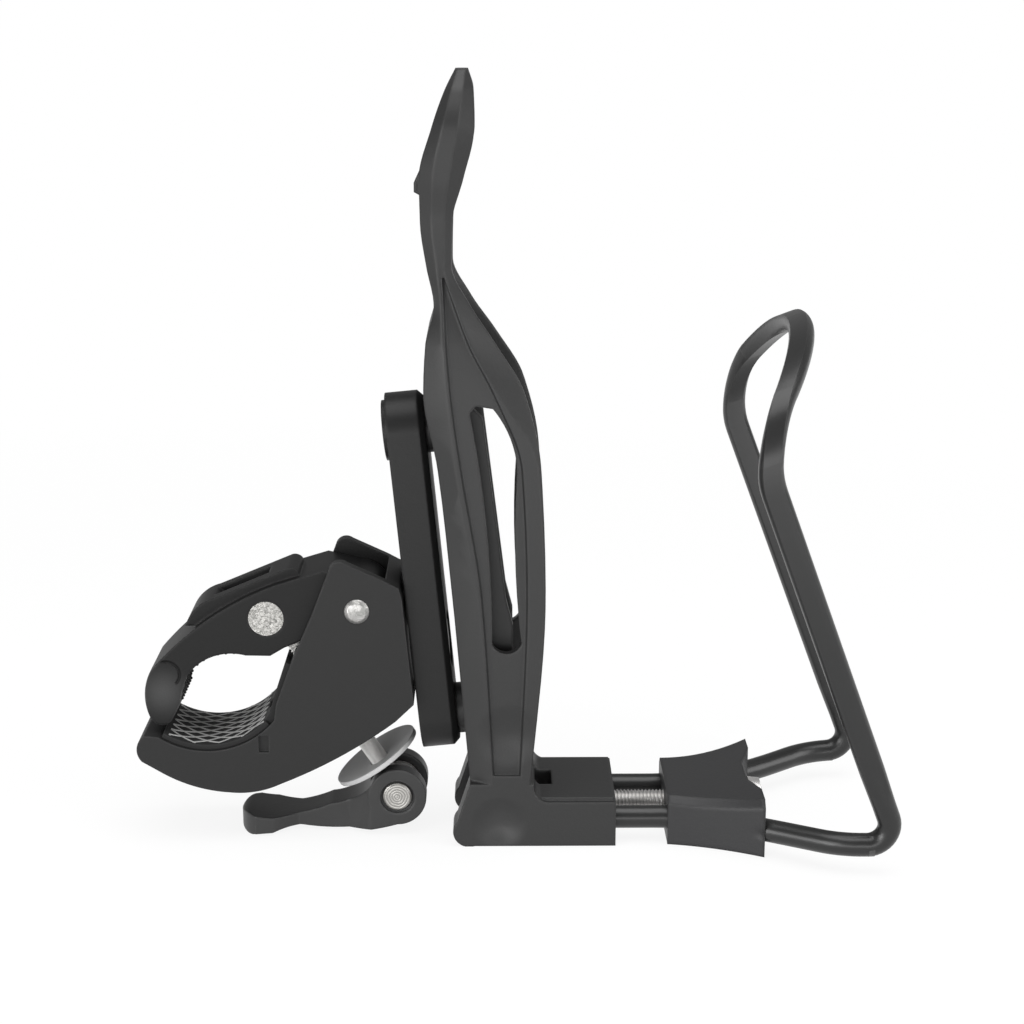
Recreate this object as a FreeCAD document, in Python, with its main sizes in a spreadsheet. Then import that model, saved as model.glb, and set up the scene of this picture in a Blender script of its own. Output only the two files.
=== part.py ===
# Adjustable bottle cage on a swivelling quick-release tube clamp.
#
# Frame: +Z up, +X from the clamped tube towards the wire bail, Y across the cage.
# The origin is the axis of the clamped tube, half way across the clamp. Millimetres and degrees.
# The cage stands as it would on a table: the underside of its foot is level.

import FreeCAD, Part
import math
import os

Vector = FreeCAD.Vector
Rotation = FreeCAD.Rotation
Placement = FreeCAD.Placement

# Driving sizes. Each name becomes an alias in the sheet.
SIZES = {
    "play": 0.3,
    "pin_fit": 0.05,
    "lean": 5.5,
    "table_drop": 40.3,
    # Tube clamp body
    "clamp_width": 22.0,
    "plate_wall": 2.2,
    "cradle_radius": 18.9,
    "pad_thick": 1.2,
    "rear_wall": 3.2,
    "floor_wall": 3.0,
    "bolt_slot": 5.4,
    # Jaw hinge, barrel nut and cam lever
    "rivet_x": 33.0,
    "rivet_z": 12.7,
    "rivet_dia": 4.6,
    "rivet_head": 5.5,
    "barrel_x": 13.3,
    "barrel_z": 10.4,
    "barrel_dia": 7.6,
    "pin_x": 40.9,
    "pin_z": -31.4,
    "pin_dia": 6.4,
    "draw_dia": 4.0,
    "eye_radius": 6.4,
    "lever_width": 14.0,
    "arm_width": 14.0,
    "arm_waist": 8.0,
    "bolt_eye_width": 6.0,
    "bolt_eye_dia": 9.4,
    "dish_dia": 20.4,
    "dish_thick": 1.1,
    "dish_depth": 1.4,
    # Swivel between the clamp and the adapter bar
    "swivel_x": 44.4,
    "swivel_z": 2.5,
    "swivel_dia": 6.0,
    "disc_dia": 20.0,
    "disc_thick": 0.5,
    "swivel_head_dia": 10.0,
    "swivel_head": 2.4,
    "swivel_nut_flats": 10.0,
    "swivel_nut_high": 4.4,
    # Adapter bar
    "bar_width": 16.0,
    "bar_thick": 8.2,
    "hole_pitch": 64.0,
    "bar_offset": 15.7,
    "bar_chamfer": 1.3,
    "boss_dia": 13.0,
    "boss_high": 0.9,
    # Mounting screws
    "screw_dia": 5.0,
    "screw_head_dia": 8.6,
    "screw_head": 3.2,
    "washer_dia": 9.6,
    "washer_thick": 1.0,
    "nut_flats": 8.0,
    "nut_high": 4.0,
    "seat_wall": 4.2,
    # Cage moulding
    "cage_width": 27.0,
    "side_wall": 3.0,
    "web_wall": 4.3,
    "back_bevel": 2.6,
    "front_bevel": 1.8,
    "tongue_bevel": 3.4,
    "panel_deep": 0.9,
    "rib_wall": 2.0,
    "rib_gap": 11.0,
    "tongue_thick": 3.2,
    "foot_width": 26.6,
    "foot_high": 10.1,
    "foot_front": 88.8,
    "plate_raise": 0.7,
    # Bail, collar and adjuster
    "wire_dia": 5.0,
    "flat_wide": 5.4,
    "flat_thick": 3.9,
    "flat_face": 3.8,
    "rod_spacing": 18.5,
    "rod_height": 5.15,
    "rod_start": 67.5,
    "corner_half": 27.5,
    "crown_half": 32.2,
    "corner_x": 147.6,
    "shoulder_x": 117.4,
    "shoulder_z": 46.6,
    "crown_x": 126.8,
    "crown_z": 72.9,
    "collar_back": 100.2,
    "collar_front": 120.6,
    "collar_back_width": 25.2,
    "collar_front_width": 39.6,
    "collar_back_high": 11.0,
    "collar_front_high": 12.8,
    "adjuster_tip": 65.2,
    "foot_nut_x": 76.6,
}

doc = FreeCAD.newDocument("bottle_cage")
sheet = doc.addObject("Spreadsheet::Sheet", "sizes")
for row, (alias, value) in enumerate(SIZES.items(), start=1):
    sheet.set(f"A{row}", alias.replace("_", " "))
    sheet.set(f"B{row}", str(value))
    sheet.setAlias(f"B{row}", alias)
doc.recompute()


def size(alias):
    """A driving size as a plain number."""
    return float(sheet.get(alias))


PLAY = size("play")
FIT = size("pin_fit")
LEAN = math.radians(size("lean"))
TABLE = -size("table_drop")
SWIVEL = Vector(size("swivel_x"), 0, size("swivel_z"))
RIVET = Vector(size("rivet_x"), 0, size("rivet_z"))
BARREL = Vector(size("barrel_x"), 0, size("barrel_z"))
LEVER_PIN = Vector(size("pin_x"), 0, size("pin_z"))
ACROSS = Vector(0, 1, 0)
AHEAD = Vector(math.cos(LEAN), 0, math.sin(LEAN))
LEANING = Rotation(ACROSS, -size("lean"))
ON_SWIVEL = Placement(SWIVEL, LEANING)


def leaning(ahead, up):
    """The X and Z of a point given along and up the leaning bar, from the swivel."""
    point = ON_SWIVEL.multVec(Vector(ahead, 0, up))
    return point.x, point.z


def outline(start, *steps):
    """A face in the XZ plane. A step of two numbers is a line, one of four an arc through a point."""
    edges = []
    here = Vector(start[0], 0, start[1])
    for step in steps:
        there = Vector(step[-2], 0, step[-1])
        if len(step) == 4:
            edges.append(Part.Arc(here, Vector(step[0], 0, step[1]), there).toShape())
        else:
            edges.append(Part.LineSegment(here, there).toShape())
        here = there
    first = Vector(start[0], 0, start[1])
    if here.distanceToPoint(first) > 1e-6:
        edges.append(Part.LineSegment(here, first).toShape())
    return Part.Face(Part.Wire(edges))


def slab(face, half, other=None):
    """A face of the XZ plane drawn out across the part, to plus and minus half."""
    low = -half if other is None else min(half, other)
    high = half if other is None else max(half, other)
    moved = face.copy()
    moved.translate(Vector(0, low, 0))
    return moved.extrude(Vector(0, high - low, 0))


def rod(radius, length, base, axis):
    """A cylinder that starts at base and runs along axis."""
    return Part.makeCylinder(radius, length, base, axis)


def cross_rod(radius, half, centre):
    """A cylinder across the part, centred on the middle plane."""
    return rod(radius, 2 * half, centre - ACROSS * half, ACROSS)


def hexagon(flats, length, base, axis, turn=0.0):
    """A hexagonal prism that starts at base and runs along axis."""
    radius = flats / math.sqrt(3)
    corners = []
    for index in range(7):
        angle = math.radians(60 * index + turn)
        corners.append(Vector(radius * math.cos(angle), radius * math.sin(angle), 0))
    prism = Part.Face(Part.makePolygon(corners)).extrude(Vector(0, 0, length))
    prism.Placement = Placement(base, Rotation(Vector(0, 0, 1), axis))
    return prism


def turned(points, base, axis):
    """A turned piece from a half profile of (radius, height) points about an axis."""
    corners = [Vector(radius, 0, height) for radius, height in points]
    shape = Part.Face(Part.makePolygon(corners + corners[:1])).revolve(Vector(), Vector(0, 0, 1), 360)
    shape.Placement = Placement(base, Rotation(Vector(0, 0, 1), axis))
    return shape


def rounded_path(points, reaches):
    """Straight runs joined by tangent arcs. A reach is how far an arc starts from its corner."""
    edges = []
    here = points[0]
    for before, corner, after, reach in zip(points, points[1:], points[2:], reaches):
        inward = (before - corner).normalize()
        outward = (after - corner).normalize()
        half_angle = math.acos(max(-1.0, min(1.0, inward.dot(outward)))) / 2
        radius = reach * math.tan(half_angle)
        begin = corner + inward * reach
        end = corner + outward * reach
        middle = corner + (inward + outward).normalize() * (radius / math.sin(half_angle) - radius)
        if here.distanceToPoint(begin) > 1e-4:
            edges.append(Part.LineSegment(here, begin).toShape())
        edges.append(Part.Arc(begin, middle, end).toShape())
        here = end
    edges.append(Part.LineSegment(here, points[-1]).toShape())
    return Part.Wire(edges)


def round_bar(path, radius):
    """A round bar bent along a path."""
    start = path.Edges[0]
    direction = start.tangentAt(start.FirstParameter)
    ring = Part.Wire([Part.makeCircle(radius, start.valueAt(start.FirstParameter), direction)])
    return path.makePipeShell([ring], True, False)


def piece(name, shape):
    """A sub-part whose shape is worked out above."""
    feature = doc.addObject("Part::Feature", name)
    feature.Label = name
    feature.Shape = shape
    return feature


pieces = []


# Rubber strip in the cradle, with a tab up the front wall on each side of the bolt
def lower_pad():
    outer = size("cradle_radius")
    inner = outer - size("pad_thick")
    start = math.radians(-44)
    middle = math.radians(-83)
    end = math.radians(-122)
    band = outline(
        (outer * math.cos(start), outer * math.sin(start)),
        (outer * math.cos(middle), outer * math.sin(middle),
         outer * math.cos(end), outer * math.sin(end)),
        (inner * math.cos(end), inner * math.sin(end)),
        (inner * math.cos(middle), inner * math.sin(middle),
         inner * math.cos(start), inner * math.sin(start)))
    half = size("clamp_width") / 2
    pad = slab(band, half - 0.8)
    strip = outline((12.2, -12.6), (14.0, -13.2), (15.0, -12.4), (19.0, 0.2), (17.3, 0.8), (13.2, -11.6))
    return pad.fuse(slab(strip, half - 1.6, size("bolt_slot") / 2)).fuse(
        slab(strip, -half + 1.6, -size("bolt_slot") / 2)).removeSplitter()


# Tube clamp body: a die-cast cradle, two side plates, a rear wall and a floor
def clamp_body():
    half = size("clamp_width") / 2
    inside = half - size("plate_wall")
    reach = size("cradle_radius")
    cradle_start = math.radians(-39)
    cradle_middle = math.radians(-80)
    cradle_end = math.radians(-124)
    rear = -size("disc_thick")
    side = outline(
        leaning(rear, 13.2), (42.0, 17.8), (38.7, 19.6), (31.0, 23.2),
        (28.9, 23.6, 27.2, 21.8), (23.5, 12.2), (18.7, 1.2), (15.2, -8.3),
        (reach * math.cos(cradle_start), reach * math.sin(cradle_start)),
        (reach * math.cos(cradle_middle), reach * math.sin(cradle_middle),
         reach * math.cos(cradle_end), reach * math.sin(cradle_end)),
        (-13.6, -15.4), (-15.3, -18.2, -14.3, -21.3), (-9.5, -24.2), (-2.6, -27.2, 4.6, -28.5),
        (10.5, -28.3, 15.7, -26.6), (28.4, -20.5, 40.9, -12.3), leaning(rear, -10.9))
    body = slab(side, half)
    wall = size("floor_wall")
    rear_inner = rear - size("rear_wall")
    hollow = outline(
        (8.0, 3.0), (19.6, 2.4), (17.9, -8.0), (17.6, -14.5),
        (20.2 - wall * 0.5, -24.5 + wall * 0.87),
        (28.9 - wall * 0.5, -20.2 + wall * 0.87, 40.9 - wall * 0.5, -12.3 + wall * 0.87),
        leaning(rear_inner, -8.0), leaning(rear_inner, 30.0), (8.0, 32.0))
    body = body.cut(slab(hollow, inside))
    body = body.cut(bolt_slot_in_floor())
    front_slot = outline((12.0, -5.0), (24.0, -5.0), (24.0, 8.0), (12.0, 8.0))
    body = body.cut(slab(front_slot, size("bolt_slot") / 2))
    body = body.cut(cross_rod(size("rivet_dia") / 2 + FIT, half + 1, RIVET))
    base = SWIVEL + AHEAD * (rear_inner - 1)
    body = body.cut(rod(size("swivel_dia") / 2 + FIT, size("rear_wall") + 2, base, AHEAD))
    body = body.cut(lower_pad())
    recess = outline((11.2, -15.4), (13.4, -15.4), (13.4, -19.2), (11.2, -19.2))
    for side_sign in (-1, 1):
        body = body.cut(slab(recess, side_sign * (half - 0.8), side_sign * (half + 1)))
    return body


def draw_axis():
    """Direction of the draw bolt, from the barrel nut to the lever pin."""
    return (LEVER_PIN - BARREL).normalize()


def bolt_slot_in_floor():
    """Slot in the clamp floor that the draw bolt passes through and swings in."""
    along = Vector(-0.866, 0, -0.5)
    out = Vector(0.5, 0, -0.866)
    centre = BARREL + draw_axis() * 32.0
    corners = []
    for step, depth in ((-5.5, -8), (5.5, -8), (5.5, 8), (-5.5, 8)):
        point = centre + along * step + out * depth
        corners.append((point.x, point.z))
    return slab(outline(*corners), size("bolt_slot") / 2)


pieces.append(piece("clamp_body", clamp_body()))


# Ribbed rubber strip in the cradle
pieces.append(piece("lower_pad", lower_pad()))


# Rivet that carries the upper jaw
def hinge_rivet():
    half = size("clamp_width") / 2
    shank = size("rivet_dia") / 2
    head = size("rivet_head") / 2
    profile = [(0, -half - 0.9), (head * 0.7, -half - 0.7), (head, -half), (shank, -half),
               (shank, half), (head, half), (head * 0.7, half + 0.7), (0, half + 0.9)]
    return turned(profile, RIVET, ACROSS)


pieces.append(piece("hinge_rivet", hinge_rivet()))


# Upper jaw: curved arm with a hinge lobe, a finger and a hood over the barrel nut
def jaw_half():
    return size("clamp_width") / 2 - size("plate_wall") - PLAY


JAW_PAD = ((-5.8, -8.9), (-5.1, -5.5, -4.2, -2.6), (1.2, 1.7, 8.7, 2.1), (14.0, 2.0))


def upper_pad():
    band = outline(*JAW_PAD, (14.0, 3.4), (8.7, 3.5), (0.3, 3.1, -5.6, -1.9), (-6.6, -5.2, -7.1, -8.3))
    return slab(band, jaw_half() - 0.5)


def upper_jaw():
    half = jaw_half()
    lobe = 6.3
    arm = outline(
        (RIVET.x, RIVET.z + lobe), (25.7, 20.9), (15.8, 17.9),
        (0.4, 9.9, -12.0, -1.4), (-13.4, -6.8, -12.4, -12.1), (-10.2, -13.7, -7.9, -12.9),
        *JAW_PAD, (17.0, 3.8), (27.0, 8.0), (RIVET.x, RIVET.z - lobe),
        (RIVET.x + lobe, RIVET.z, RIVET.x, RIVET.z + lobe))
    jaw = slab(arm, half)
    hood = outline((20.6, 18.4), (19.7, 20.6, 17.6, 20.7), (2.0, 14.2),
                   (-2.0, 12.0, -4.4, 8.0), (0.0, 8.0), (14.0, 14.0))
    jaw = jaw.fuse(slab(hood, 5.8)).removeSplitter()
    jaw = jaw.cut(upper_pad())
    jaw = jaw.cut(cross_rod(size("rivet_dia") / 2 + 2 * FIT, half + 1, RIVET))
    jaw = jaw.cut(cross_rod(size("barrel_dia") / 2 + 2 * FIT, half + 1, BARREL))
    slot = outline((-1.0, 15.6), (8.2, 10.4), (14.6, -3.0), (33.0, -3.0), (17.4, 12.4), (9.0, 27.0), (-4.0, 27.0))
    return jaw.cut(slab(slot, size("bolt_slot") / 2))


pieces.append(piece("upper_jaw", upper_jaw()))
pieces.append(piece("upper_pad", upper_pad()))


# Barrel nut that turns in the jaw, with the draw bolt through it
def barrel_nut():
    axis = draw_axis()
    barrel = cross_rod(size("barrel_dia") / 2, jaw_half(), BARREL)
    radius = size("draw_dia") / 2
    return barrel.cut(rod(radius, 20, BARREL - axis * 10, axis))


def draw_bolt():
    axis = draw_axis()
    length = (LEVER_PIN - BARREL).Length
    shank = rod(size("draw_dia") / 2, length + 6, BARREL - axis * 6, axis)
    eye = cross_rod(size("bolt_eye_dia") / 2, size("bolt_eye_width") / 2, LEVER_PIN)
    bolt = shank.fuse(eye).removeSplitter()
    return bolt.cut(cross_rod(size("pin_dia") / 2 + FIT, size("bolt_eye_width"), LEVER_PIN))


def cam_washer():
    axis = draw_axis()
    outer = size("dish_dia") / 2
    inner = size("draw_dia") / 2 + 0.25
    depth = size("dish_depth")
    thick = size("dish_thick")
    hub = inner + 2.4
    profile = [(inner, 0), (hub, 0), (outer, -depth), (outer, -depth - thick), (hub, -thick), (inner, -thick)]
    centre = LEVER_PIN - axis * (size("eye_radius") + PLAY)
    return turned(profile, centre, axis)


pieces.append(piece("barrel_nut", barrel_nut()))
pieces.append(piece("draw_bolt", draw_bolt()))
pieces.append(piece("cam_washer", cam_washer()))


# Cam lever: forked eye and a curved handle
def cam_lever():
    eye = cross_rod(size("eye_radius"), size("lever_width") / 2, LEVER_PIN)
    handle = outline(
        (5.0, -38.2), (5.9, -36.2, 8.6, -35.7), (18.0, -36.2, 26.0, -34.0), (32.6, -31.4, 35.9, -27.4),
        (40.9, -25.3), (47.0, -32.0), (45.0, -36.3, 40.9, -37.8), (30.0, -39.6, 19.6, -39.0),
        (15.4, -39.2, 13.1, -39.8), (9.2, -40.1), (6.3, -39.9, 5.0, -38.2))
    wide = size("arm_width") / 2
    waist = size("arm_waist") / 2
    plan = []
    for side_sign in (1, -1):
        plan.append((Vector(9.4, side_sign * wide, -50), Vector(13.4, side_sign * wide, -50),
                     Vector(19.0, side_sign * waist, -50), Vector(30.0, side_sign * waist, -50),
                     Vector(35.0, side_sign * size("lever_width") / 2, -50),
                     Vector(50.0, side_sign * size("lever_width") / 2, -50)))
    near_tip, far_tip = plan[1][0], plan[0][0]
    tip = Part.Arc(near_tip, Vector(5.9, 0, -50), far_tip).toShape()
    sides = Part.makePolygon(list(plan[0]) + list(plan[1][::-1])).Edges
    above = Part.Face(Part.Wire([tip] + sides)).extrude(Vector(0, 0, 40))
    arm = slab(handle, wide).common(above)
    lever = eye.fuse(arm).removeSplitter()
    gap = size("bolt_eye_width") / 2 + PLAY
    clear = size("bolt_eye_dia") / 2 + PLAY + 0.6
    lever = lever.cut(cross_rod(clear, gap, LEVER_PIN))
    sweep = outline((LEVER_PIN.x - 4.6, LEVER_PIN.z), (LEVER_PIN.x - 12.0, LEVER_PIN.z + 14.0),
                    (LEVER_PIN.x + 9.0, LEVER_PIN.z + 14.0), (LEVER_PIN.x + 9.0, LEVER_PIN.z - 2.0),
                    (LEVER_PIN.x + 4.6, LEVER_PIN.z - 4.0))
    lever = lever.cut(slab(sweep, gap))
    for side_sign in (-1, 1):
        face = size("lever_width") / 2
        rim = rod(size("pin_dia") / 2 + 0.6, 2, LEVER_PIN + ACROSS * (side_sign * (face - 0.8)), ACROSS * side_sign)
        lever = lever.cut(rim)
    return lever.cut(cross_rod(size("pin_dia") / 2, size("lever_width"), LEVER_PIN))


def lever_pin():
    half = size("lever_width") / 2
    radius = size("pin_dia") / 2
    edge = 0.4
    profile = [(0, -half), (radius - edge, -half), (radius, -half + edge),
               (radius, half - edge), (radius - edge, half), (0, half)]
    return turned(profile, LEVER_PIN, ACROSS)


pieces.append(piece("cam_lever", cam_lever()))
pieces.append(piece("lever_pin", lever_pin()))


# Adapter bar, built flat in its own frame: X through the bar, Z along it, origin on the swivel
BAR_CENTRE = size("bar_offset")
UPPER_HOLE = BAR_CENTRE + size("hole_pitch") / 2
LOWER_HOLE = BAR_CENTRE - size("hole_pitch") / 2


def on_bar(ahead, up):
    """A point on the middle plane of the bar."""
    return ON_SWIVEL.multVec(Vector(ahead, 0, up))


def adapter_bar():
    body = doc.addObject("PartDesign::Body", "adapter_bar")
    body.Label = "adapter_bar"
    planes = {plane.Role: plane for plane in body.Origin.OriginFeatures}

    def sketch_on(name, offset):
        sketch = body.newObject("Sketcher::SketchObject", name)
        sketch.AttachmentSupport = [(planes["YZ_Plane"], "")]
        sketch.MapMode = "FlatFace"
        sketch.setExpression("AttachmentOffset.Base.z", offset)
        return sketch

    def circle(sketch, tag, up, up_formula, radius, radius_formula):
        index = sketch.addGeometry(Part.Circle(Vector(0, up, 0), Vector(0, 0, 1), radius), False)
        sketch.addConstraint(Sketcher.Constraint("PointOnObject", index, 3, -2))
        place = sketch.addConstraint(Sketcher.Constraint("DistanceY", -1, 1, index, 3, up))
        sketch.renameConstraint(place, "up_" + tag)
        sketch.setExpression("Constraints.up_" + tag, up_formula)
        wide = sketch.addConstraint(Sketcher.Constraint("Radius", index, radius))
        sketch.renameConstraint(wide, "radius_" + tag)
        sketch.setExpression("Constraints.radius_" + tag, radius_formula)

    # Obround plate
    plate = sketch_on("plate_outline", "0 mm")
    half = size("bar_width") / 2
    right = plate.addGeometry(Part.LineSegment(Vector(half, LOWER_HOLE, 0), Vector(half, UPPER_HOLE, 0)), False)
    left = plate.addGeometry(Part.LineSegment(Vector(-half, UPPER_HOLE, 0), Vector(-half, LOWER_HOLE, 0)), False)
    top = plate.addGeometry(Part.ArcOfCircle(
        Part.Circle(Vector(0, UPPER_HOLE, 0), Vector(0, 0, 1), half), 0, math.pi), False)
    bottom = plate.addGeometry(Part.ArcOfCircle(
        Part.Circle(Vector(0, LOWER_HOLE, 0), Vector(0, 0, 1), half), math.pi, 2 * math.pi), False)
    for first, first_end, second, second_end in (
            (right, 2, top, 1), (top, 2, left, 1), (left, 2, bottom, 1), (bottom, 2, right, 1)):
        plate.addConstraint(Sketcher.Constraint("Tangent", first, first_end, second, second_end))
    plate.addConstraint(Sketcher.Constraint("Vertical", right))
    plate.addConstraint(Sketcher.Constraint("PointOnObject", top, 3, -2))
    plate.addConstraint(Sketcher.Constraint("PointOnObject", bottom, 3, -2))
    sized = (("upper", "DistanceY", (-1, 1, top, 3), UPPER_HOLE, "sizes.bar_offset + sizes.hole_pitch / 2"),
             ("lower", "DistanceY", (-1, 1, bottom, 3), LOWER_HOLE, "sizes.bar_offset - sizes.hole_pitch / 2"),
             ("round", "Radius", (top,), half, "sizes.bar_width / 2"))
    for tag, kind, ends, value, formula in sized:
        index = plate.addConstraint(Sketcher.Constraint(kind, *ends, value))
        plate.renameConstraint(index, tag)
        plate.setExpression("Constraints." + tag, formula)
    pad = body.newObject("PartDesign::Pad", "plate_pad")
    pad.Profile = plate
    pad.setExpression("Length", "sizes.bar_thick")
    doc.recompute()

    # Long front edges broken by a chamfer
    front = [f"Edge{number}" for number, edge in enumerate(pad.Shape.Edges, start=1)
             if abs(edge.BoundBox.XMin - size("bar_thick")) < 1e-3
             and abs(edge.BoundBox.XMax - size("bar_thick")) < 1e-3]
    bevel = body.newObject("PartDesign::Chamfer", "front_chamfer")
    bevel.Base = (pad, front)
    bevel.setExpression("Size", "sizes.bar_chamfer")
    doc.recompute()

    # Raised ring round the upper screw, on the clamp side
    ring = sketch_on("boss_outline", "0 mm")
    circle(ring, "boss", UPPER_HOLE, "sizes.bar_offset + sizes.hole_pitch / 2",
           size("boss_dia") / 2, "sizes.boss_dia / 2")
    raised = body.newObject("PartDesign::Pad", "boss_pad")
    raised.Profile = ring
    raised.Reversed = True
    raised.setExpression("Length", "sizes.boss_high")
    doc.recompute()

    # Screw bores and the swivel bore
    bores = sketch_on("bore_outline", "sizes.bar_thick")
    radius = size("screw_dia") / 2 + 0.2
    circle(bores, "upper", UPPER_HOLE, "sizes.bar_offset + sizes.hole_pitch / 2",
           radius, "sizes.screw_dia / 2 + 0.2")
    circle(bores, "lower", LOWER_HOLE, "sizes.bar_offset - sizes.hole_pitch / 2",
           radius, "sizes.screw_dia / 2 + 0.2")
    holes = body.newObject("PartDesign::Pocket", "screw_bores")
    holes.Profile = bores
    holes.Type = 1
    holes.Midplane = True
    doc.recompute()
    return body


def finished_bar():
    """The padded bar with its swivel bore, nut well and hexagonal nut traps."""
    blank = adapter_bar()
    swivel = doc.addObject("Part::Cylinder", "swivel_bore")
    swivel.setExpression("Radius", "sizes.swivel_dia / 2 + sizes.pin_fit")
    swivel.setExpression("Height", "sizes.bar_thick * 2")
    well = doc.addObject("Part::Cylinder", "nut_well")
    well.setExpression("Radius", "sizes.swivel_nut_flats / sqrt(3) + 0.5")
    well.setExpression("Height", "sizes.bar_thick")
    turn = Rotation(ACROSS, 90)
    swivel.Placement = Placement(Vector(-size("bar_thick") / 2, 0, 0), turn)
    seat = size("bar_thick") - size("swivel_nut_high") - size("washer_thick") - 0.4
    well.Placement = Placement(Vector(seat, 0, 0), turn)
    traps = []
    for tag, up in (("upper", UPPER_HOLE), ("lower", LOWER_HOLE)):
        trap = doc.addObject("Part::Prism", tag + "_nut_trap")
        trap.Polygon = 6
        trap.setExpression("Circumradius", "sizes.nut_flats / sqrt(3) + 0.1")
        trap.setExpression("Height", "sizes.nut_high + sizes.boss_high + 0.2")
        trap.Placement = Placement(Vector(-size("boss_high") - 0.2, 0, up), turn)
        traps.append(trap)
    tools = doc.addObject("Part::MultiFuse", "bar_tools")
    tools.Shapes = [swivel, well] + traps
    cut = doc.addObject("Part::Cut", "drilled_bar")
    cut.Base = blank
    cut.Tool = tools
    cut.Placement = ON_SWIVEL
    blank.Label = "bar_blank"
    cut.Label = "adapter_bar"
    doc.recompute()
    return cut


import Sketcher

pieces.append(finished_bar())


# Swivel: bolt in the clamp, friction disc, washer and nut in the well of the bar
def swivel_bolt():
    wall_inner = -size("disc_thick") - size("rear_wall")
    head = turned([(0, 0), (size("swivel_head_dia") / 2 - 0.6, 0), (size("swivel_head_dia") / 2, 0.6),
                   (size("swivel_head_dia") / 2, size("swivel_head")), (0, size("swivel_head"))],
                  on_bar(wall_inner - size("swivel_head"), 0), AHEAD)
    length = size("bar_thick") - wall_inner - 0.4
    return head.fuse(rod(size("swivel_dia") / 2, length, on_bar(wall_inner, 0), AHEAD)).removeSplitter()


def swivel_disc():
    disc = rod(size("disc_dia") / 2, size("disc_thick"), on_bar(-size("disc_thick"), 0), AHEAD)
    return disc.cut(rod(size("swivel_dia") / 2 + FIT, 4, on_bar(-2, 0), AHEAD))


def swivel_washer():
    seat = size("bar_thick") - size("swivel_nut_high") - size("washer_thick") - 0.4
    ring = rod(size("swivel_nut_flats") / math.sqrt(3), size("washer_thick"), on_bar(seat, 0), AHEAD)
    return ring.cut(rod(size("swivel_dia") / 2 + FIT, 12, on_bar(-2, 0), AHEAD))


def swivel_nut():
    seat = size("bar_thick") - size("swivel_nut_high") - 0.4
    nut = hexagon(size("swivel_nut_flats"), size("swivel_nut_high"), on_bar(seat, 0), AHEAD)
    return nut.cut(rod(size("swivel_dia") / 2, 20, on_bar(-2, 0), AHEAD))


pieces.append(piece("swivel_bolt", swivel_bolt()))
pieces.append(piece("swivel_disc", swivel_disc()))
pieces.append(piece("swivel_washer", swivel_washer()))
pieces.append(piece("swivel_nut", swivel_nut()))


# Cage moulding: tongue, channelled back with two side slots, and the foot
SEAT = size("bar_thick") + size("seat_wall")


# Stations up the cage: height, back, rear ridge, front shoulder, front edge and half width
STATIONS = (
    (-27.0, 57.1, 62.0, 69.6, 70.1, 13.3), (16.0, 53.4, 58.8, 72.8, 73.3, 13.5),
    (44.0, 50.5, 54.3, 71.4, 72.3, 13.5), (60.0, 47.7, 52.4, 63.6, 68.8, 13.3),
    (70.0, 48.2, 51.7, 57.9, 62.9, 12.7), (78.0, 50.0, 51.4, 54.8, 57.5, 11.2),
    (86.0, 48.5, 50.6, 52.2, 53.7, 9.7), (95.0, 47.3, 49.7, 52.4, 53.9, 9.4),
    (104.0, 47.2, 50.0, 53.5, 56.3, 11.0), (114.0, 49.8, 52.0, 55.2, 58.5, 11.8),
    (121.5, 52.5, 53.9, 56.2, 58.3, 8.8), (125.6, 54.6, 55.1, 56.6, 57.2, 4.4))


def level_ring(height, corners):
    """Corners of a level polygon, the same on both sides of the middle plane."""
    near = [Vector(ahead, -across, height) for ahead, across in corners]
    far = [Vector(ahead, across, height) for ahead, across in reversed(corners)]
    return near + far


def fair_slopes(spots):
    """Slopes over height that never let the curve swing past its points."""
    rises = [b.z - a.z for a, b in zip(spots, spots[1:])]
    chords = [(b - a) * (1 / rise) for a, b, rise in zip(spots, spots[1:], rises)]
    slopes = [chords[0]]
    for (low, high), (under, over) in zip(zip(rises, rises[1:]), zip(chords, chords[1:])):
        parts = []
        for u, v in zip(under, over):
            turns = u * v <= 0
            parts.append(0.0 if turns else 3 * (low + high) / ((2 * high + low) / u + (high + 2 * low) / v))
        slopes.append(Vector(*parts))
    return rises, slopes + [chords[-1]]


def fair_rail(spots):
    rises, slopes = fair_slopes(spots)
    poles = [spots[0]]
    for index, rise in enumerate(rises):
        poles.append(spots[index] + slopes[index] * (rise / 3))
        poles.append(spots[index + 1] - slopes[index + 1] * (rise / 3))
    poles.append(spots[-1])
    curve = Part.BSplineCurve()
    counts = [4] + [2] * (len(spots) - 2) + [4]
    curve.buildFromPolesMultsKnots(poles, counts, [spot.z for spot in spots], False, 3)
    return curve.toShape()


def skin(rings):
    """A solid whose corners run up fair curves, with ruled faces between them."""
    rails = [fair_rail([ring[corner] for ring in rings]) for corner in range(len(rings[0]))]
    faces = [Part.makeRuledSurface(a, b) for a, b in zip(rails, rails[1:] + rails[:1])]
    faces += [Part.Face(Part.makePolygon(ring + ring[:1])) for ring in (rings[0], rings[-1])]
    shell = Part.makeShell(faces)
    shell.sewShape()
    solid = Part.makeSolid(shell)
    solid.fix(1e-6, 1e-6, 1e-4)
    if solid.Volume < 0:
        solid.reverse()
    return solid


def up_tongue(height):
    """How far up the neck a level is: 0 on the back, 1 on the tongue."""
    return min(1.0, max(0.0, (height - 60.0) / 24.0))


def front_bevel(height, shoulder, front):
    bevel = size("front_bevel") + (size("tongue_bevel") - size("front_bevel")) * up_tongue(height)
    return bevel * min(1.0, (front - shoulder) / 3)


def cage_outside():
    rings = []
    for height, back, ridge, shoulder, front, half in STATIONS:
        rear = half - size("back_bevel") * half / STATIONS[0][-1]
        lip = half - front_bevel(height, shoulder, front)
        rings.append(level_ring(height, [(back, rear), (ridge, half), (shoulder, half), (front, lip)]))
    return skin(rings)


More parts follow.
